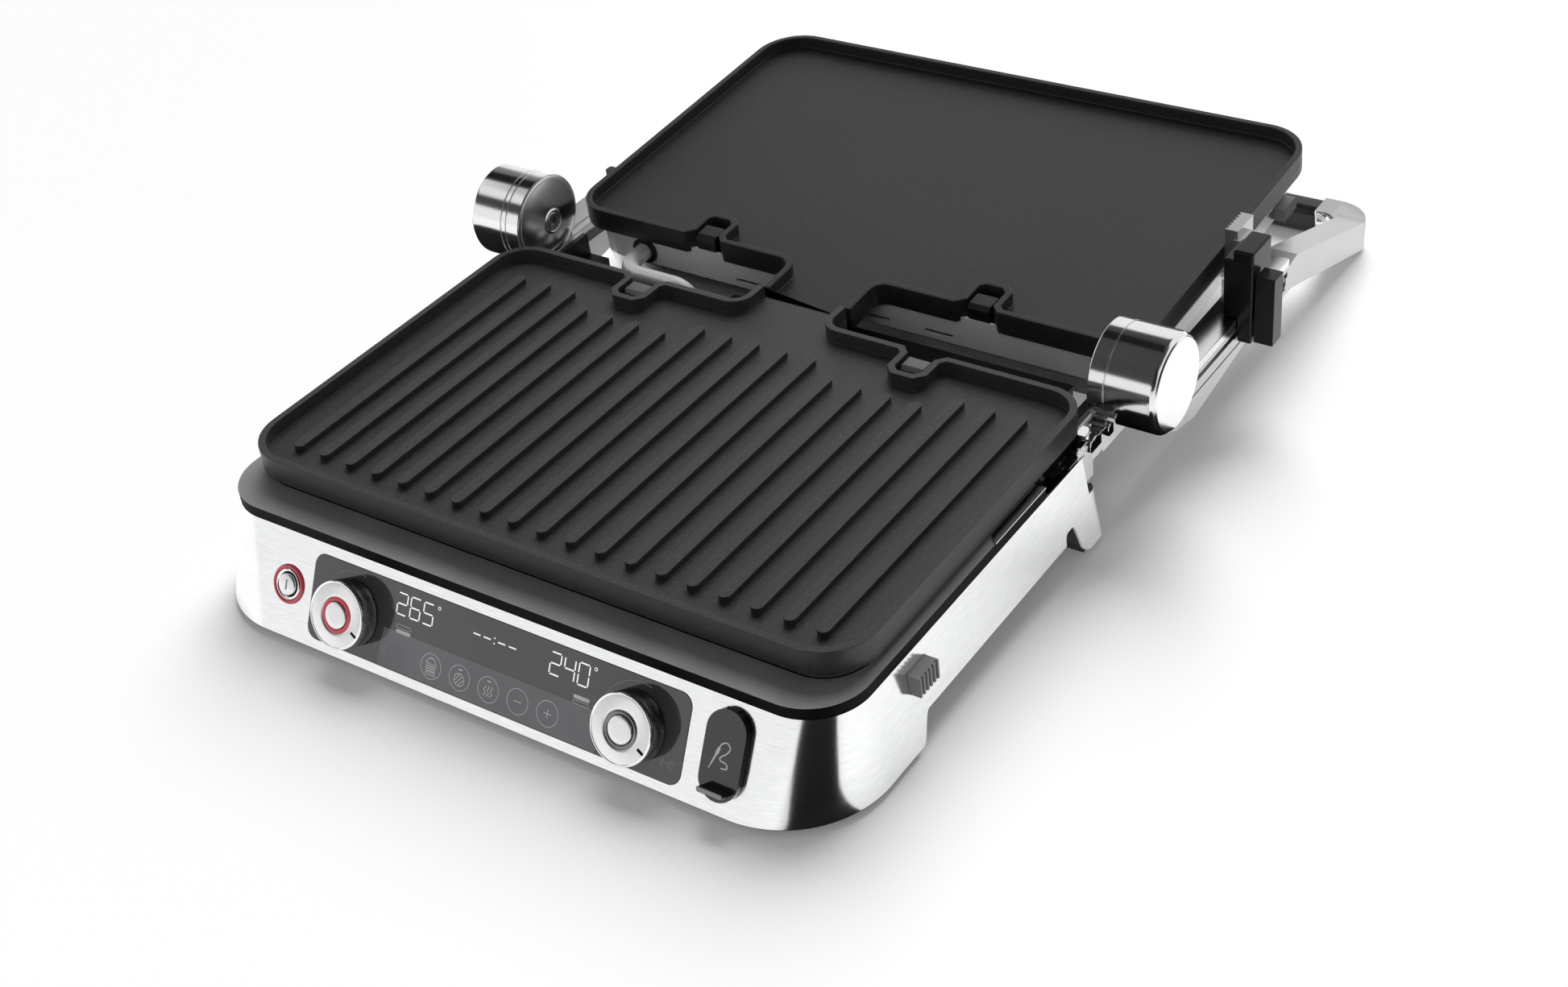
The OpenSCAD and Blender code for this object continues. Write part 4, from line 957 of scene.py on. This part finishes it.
def cut_edge(node, height, tilt):
    """The outer edge of a CAD solid in the plane at a height: ordered (x, y) points, and their place."""
    normal = Vector((0, -math.sin(tilt), math.cos(tilt)))
    bm = bmesh.new()
    bm.from_mesh(NODES[node].data)
    bmesh.ops.remove_doubles(bm, verts=bm.verts, dist=MERGE)
    everything = bm.verts[:] + bm.edges[:] + bm.faces[:]
    bmesh.ops.bisect_plane(bm, geom=everything, plane_co=normal * height * MM, plane_no=normal,
                           clear_inner=True, clear_outer=True)
    links = {}
    for edge in bm.edges:
        a, b = ((round(v.co.x / MM, 3), round(v.co.y / MM, 3)) for v in edge.verts)
        if a != b:
            links.setdefault(a, set()).add(b)
            links.setdefault(b, set()).add(a)
    bm.free()
    here = min(links, key=lambda q: q[1])
    loop, last = [here], None
    while True:
        onward = [q for q in links[here] if q != last and q not in loop[1:]]
        if not onward or (onward[0] == loop[0] and last is not None):
            break
        last, here = here, onward[0]
        loop.append(here)
    area2 = sum(a[0] * b[1] - b[0] * a[1] for a, b in zip(loop, loop[1:] + loop[:1]))
    loop = loop if area2 > 0 else loop[::-1]
    slope = math.tan(tilt)
    rise = height / math.cos(tilt)
    return loop, lambda x, y, h: (x, y - h * math.sin(tilt), rise + y * slope + h * math.cos(tilt))


def make_skirt(node, tilt):
    """The plate's wall carried further down, as a thin ring under its outer edge."""
    wall, drop, overlap = 8.1, 5.5, 0.6
    normal = Vector((0, -math.sin(tilt), math.cos(tilt)))
    rim = max(v.co.dot(normal) for v in NODES[node].data.vertices) / MM
    loop, place = cut_edge(node, rim - wall + overlap, tilt)
    outer, inner, low = inset(loop, -0.03), inset(loop, 1.3), -overlap - drop
    rows = [(outer, overlap), (outer, low + 0.6), (inset(loop, 0.15), low + 0.2), (inset(loop, 0.5), low),
            (inner, low), (inner, -0.62)]
    rows = [[place(x, y, h) for x, y in ring] for ring, h in rows]
    return mesh_object(node + "_skirt", *strip(rows, True), SLOT[node], BODY[node])


# ---------------------------------------------------------------- floor, light and cards

# How white the floor looks to the camera and in reflections, beyond the light that falls on it
FLOOR_SEEN, FLOOR_MIRRORED = 0.12, 0.28
# The even light that the surroundings give
SOFT_LEVEL = 0.24


def make_floor():
    mesh = bpy.data.meshes.new("floor")
    bm = bmesh.new()
    bmesh.ops.create_grid(bm, x_segments=1, y_segments=1, size=6.0)
    bm.to_mesh(mesh)
    bm.free()
    g = new_material("floor")
    bsdf = g.add("ShaderNodeBsdfPrincipled")
    bsdf.inputs["Base Color"].default_value = (0.8, 0.8, 0.8, 1)
    bsdf.inputs["Roughness"].default_value = 0.3
    bsdf.inputs["Specular IOR Level"].default_value = 0.15
    glow = g.add("ShaderNodeEmission")
    path = g.add("ShaderNodeLightPath")
    mirrored = g.math("MAXIMUM", path.outputs["Is Glossy Ray"], path.outputs["Is Transmission Ray"])
    seen = g.math("MULTIPLY", path.outputs["Is Camera Ray"], FLOOR_SEEN)
    g.put(g.math("MAXIMUM", seen, g.math("MULTIPLY", mirrored, FLOOR_MIRRORED)), glow.inputs["Strength"])
    total = g.add("ShaderNodeAddShader")
    g.put(bsdf.outputs[0], total.inputs[0])
    g.put(glow.outputs[0], total.inputs[1])
    g.put(total.outputs[0], g.out.inputs["Surface"])
    mesh.materials.append(MATS["floor"])
    floor = link(bpy.data.objects.new("floor", mesh))


def make_world():
    """White to the camera; in reflections a pale wall with gaps and one lit panel, under a dim ceiling."""
    world = bpy.data.worlds.new("studio")
    SCENE.world = world
    g = Graph(world, "ShaderNodeOutputWorld")
    path = g.add("ShaderNodeLightPath")
    at = g.add("ShaderNodeTexCoord").outputs["Generated"]
    height = g.axis("Z", at)

    def lobe(x, y, inner, outer):
        """1 within inner degrees of a level direction, falling to 0 at outer."""
        level = g.vector("NORMALIZE", g.combine(g.axis("X", at), g.axis("Y", at)))
        dot = g.vector("DOT_PRODUCT", level, Vector((x, y, 0)).normalized())
        return g.span(dot, math.cos(math.radians(outer)), math.cos(math.radians(inner)))

    def times(a, b):
        return g.math("MULTIPLY", a, b)

    wall_top = g.math("ADD", 0.5, times(g.axis("Y", at), 0.2))
    wall = g.span(g.math("SUBTRACT", height, wall_top), -0.03, 0.03, 1.0, 0.06)
    gap_right = times(lobe(0.72, -0.69, 26, 31), 0.97)
    gap_left = times(times(lobe(-0.84, 0.545, 13, 18), g.span(height, 0.26, 0.34)), 0.8)
    for gap in (gap_right, gap_left):
        wall = times(wall, g.math("SUBTRACT", 1.0, gap))
    band = times(g.span(height, 0.6, 0.66), g.span(height, 0.76, 0.82, 1.0, 0.0))
    panel = times(times(lobe(-1.0, -0.25, 22, 28), band), 0.95)
    studio = g.math("MAXIMUM", wall, panel)
    soft = g.add("ShaderNodeBackground")
    glossy = g.math("MAXIMUM", path.outputs["Is Glossy Ray"], path.outputs["Is Transmission Ray"])
    level = g.mix(glossy, (SOFT_LEVEL,) * 3, studio)
    g.put(g.mix(path.outputs["Is Camera Ray"], level, (1.0, 1.0, 1.0)), soft.inputs[0])
    g.put(soft.outputs[0], g.out.inputs[0])


def make_card(name, corners):
    """A black card seen only in reflections, set by the chrome to draw dark bands on it."""
    mesh = bpy.data.meshes.new(name)
    mesh.from_pydata([Vector(c) * MM for c in corners], [], [range(len(corners))])
    cloth = name + "_cloth"
    g = new_material(cloth)
    weave = g.noise(g.coords(), 900.0, 2.0)
    g.surface(Base_Color=g.mix(weave, (0.004, 0.004, 0.004), (0.008, 0.008, 0.008)), Roughness=0.9)
    mesh.materials.append(MATS[cloth])
    card = link(bpy.data.objects.new(name, mesh))
    card.visible_camera = False
    card.visible_diffuse = False
    card.visible_shadow = False


def level_card(name, x0, y0, x1, y1, z):
    make_card(name, [(x0, y0, z), (x1, y0, z), (x1, y1, z), (x0, y1, z)])


def make_cards():
    """One bent card on the floor beside the front right corner, and one lying under each hub."""
    near = arc(143.2, -242.4, 52, -70, -17, 8)
    bend = [(247, -288.5), (198, -349.5)]
    make_card("card_corner_low", [(x, y, 0.6) for x, y in near + bend])
    upright = [(x, y, 0.6) for x, y in bend[::-1]] + [(247, -288.5, 80), (187, -363, 80)]
    make_card("card_corner", upright)
    level_card("card_right", 190, -47, 245, -1, 52)
    level_card("card_left", -275, -100, -197, 25, 50)


def sun(name, toward, spread, strength):
    """A broad lamp in a direction; it leaves no spot in reflections."""
    data = bpy.data.lights.new(name, "SUN")
    data.angle = math.radians(spread)
    data.energy = strength
    lamp = link(bpy.data.objects.new(name, data))
    lamp.visible_glossy = False
    lamp.rotation_euler = Vector(toward).to_track_quat("Z", "Y").to_euler()


# ---------------------------------------------------------------- building

make_skin()
make_seams()
for side, name in SIDES:
    make_hub(side, name)
    make_dome(side, name)

make_glass()
make_display()
make_touch_icons()
make_knob_scales()
for side, name in SIDES:
    make_knob(side, name)
make_power()
make_probe_marks()

dress_nodes()
make_small_parts()
for side, name in SIDES:
    dress_bracket(side, name)
    dress_arm(side, name)
# The lower plate and its skirt take the lightened copy of the coating: painted light
for plate_piece in (make_skirt("lower_plate", 0.0), SCENE.objects["lower_plate_soft"]):
    plate_piece.data.materials[0] = MATS["plate_coating_painted_lighter"]
make_skirt("upper_plate", LID_TILT)
SCENE.objects["slider_catch_soft"].data.materials[0] = MATS["slide_catch"]
# Painted shade: the deck's side faces take the near-black shadow_gap colour, darker than its top
two_tone(SCENE.objects["deck_soft"], "shadow_gap", lambda c, n: n.z < 0.5)

make_camera()
make_floor()
make_world()
make_cards()
sun("key", (-0.25, 0.82, 0.88), 44, 3.7)
sun("front", (0.2, -0.9, 0.6), 40, 0.2)

SCENE.view_settings.view_transform = "Standard"
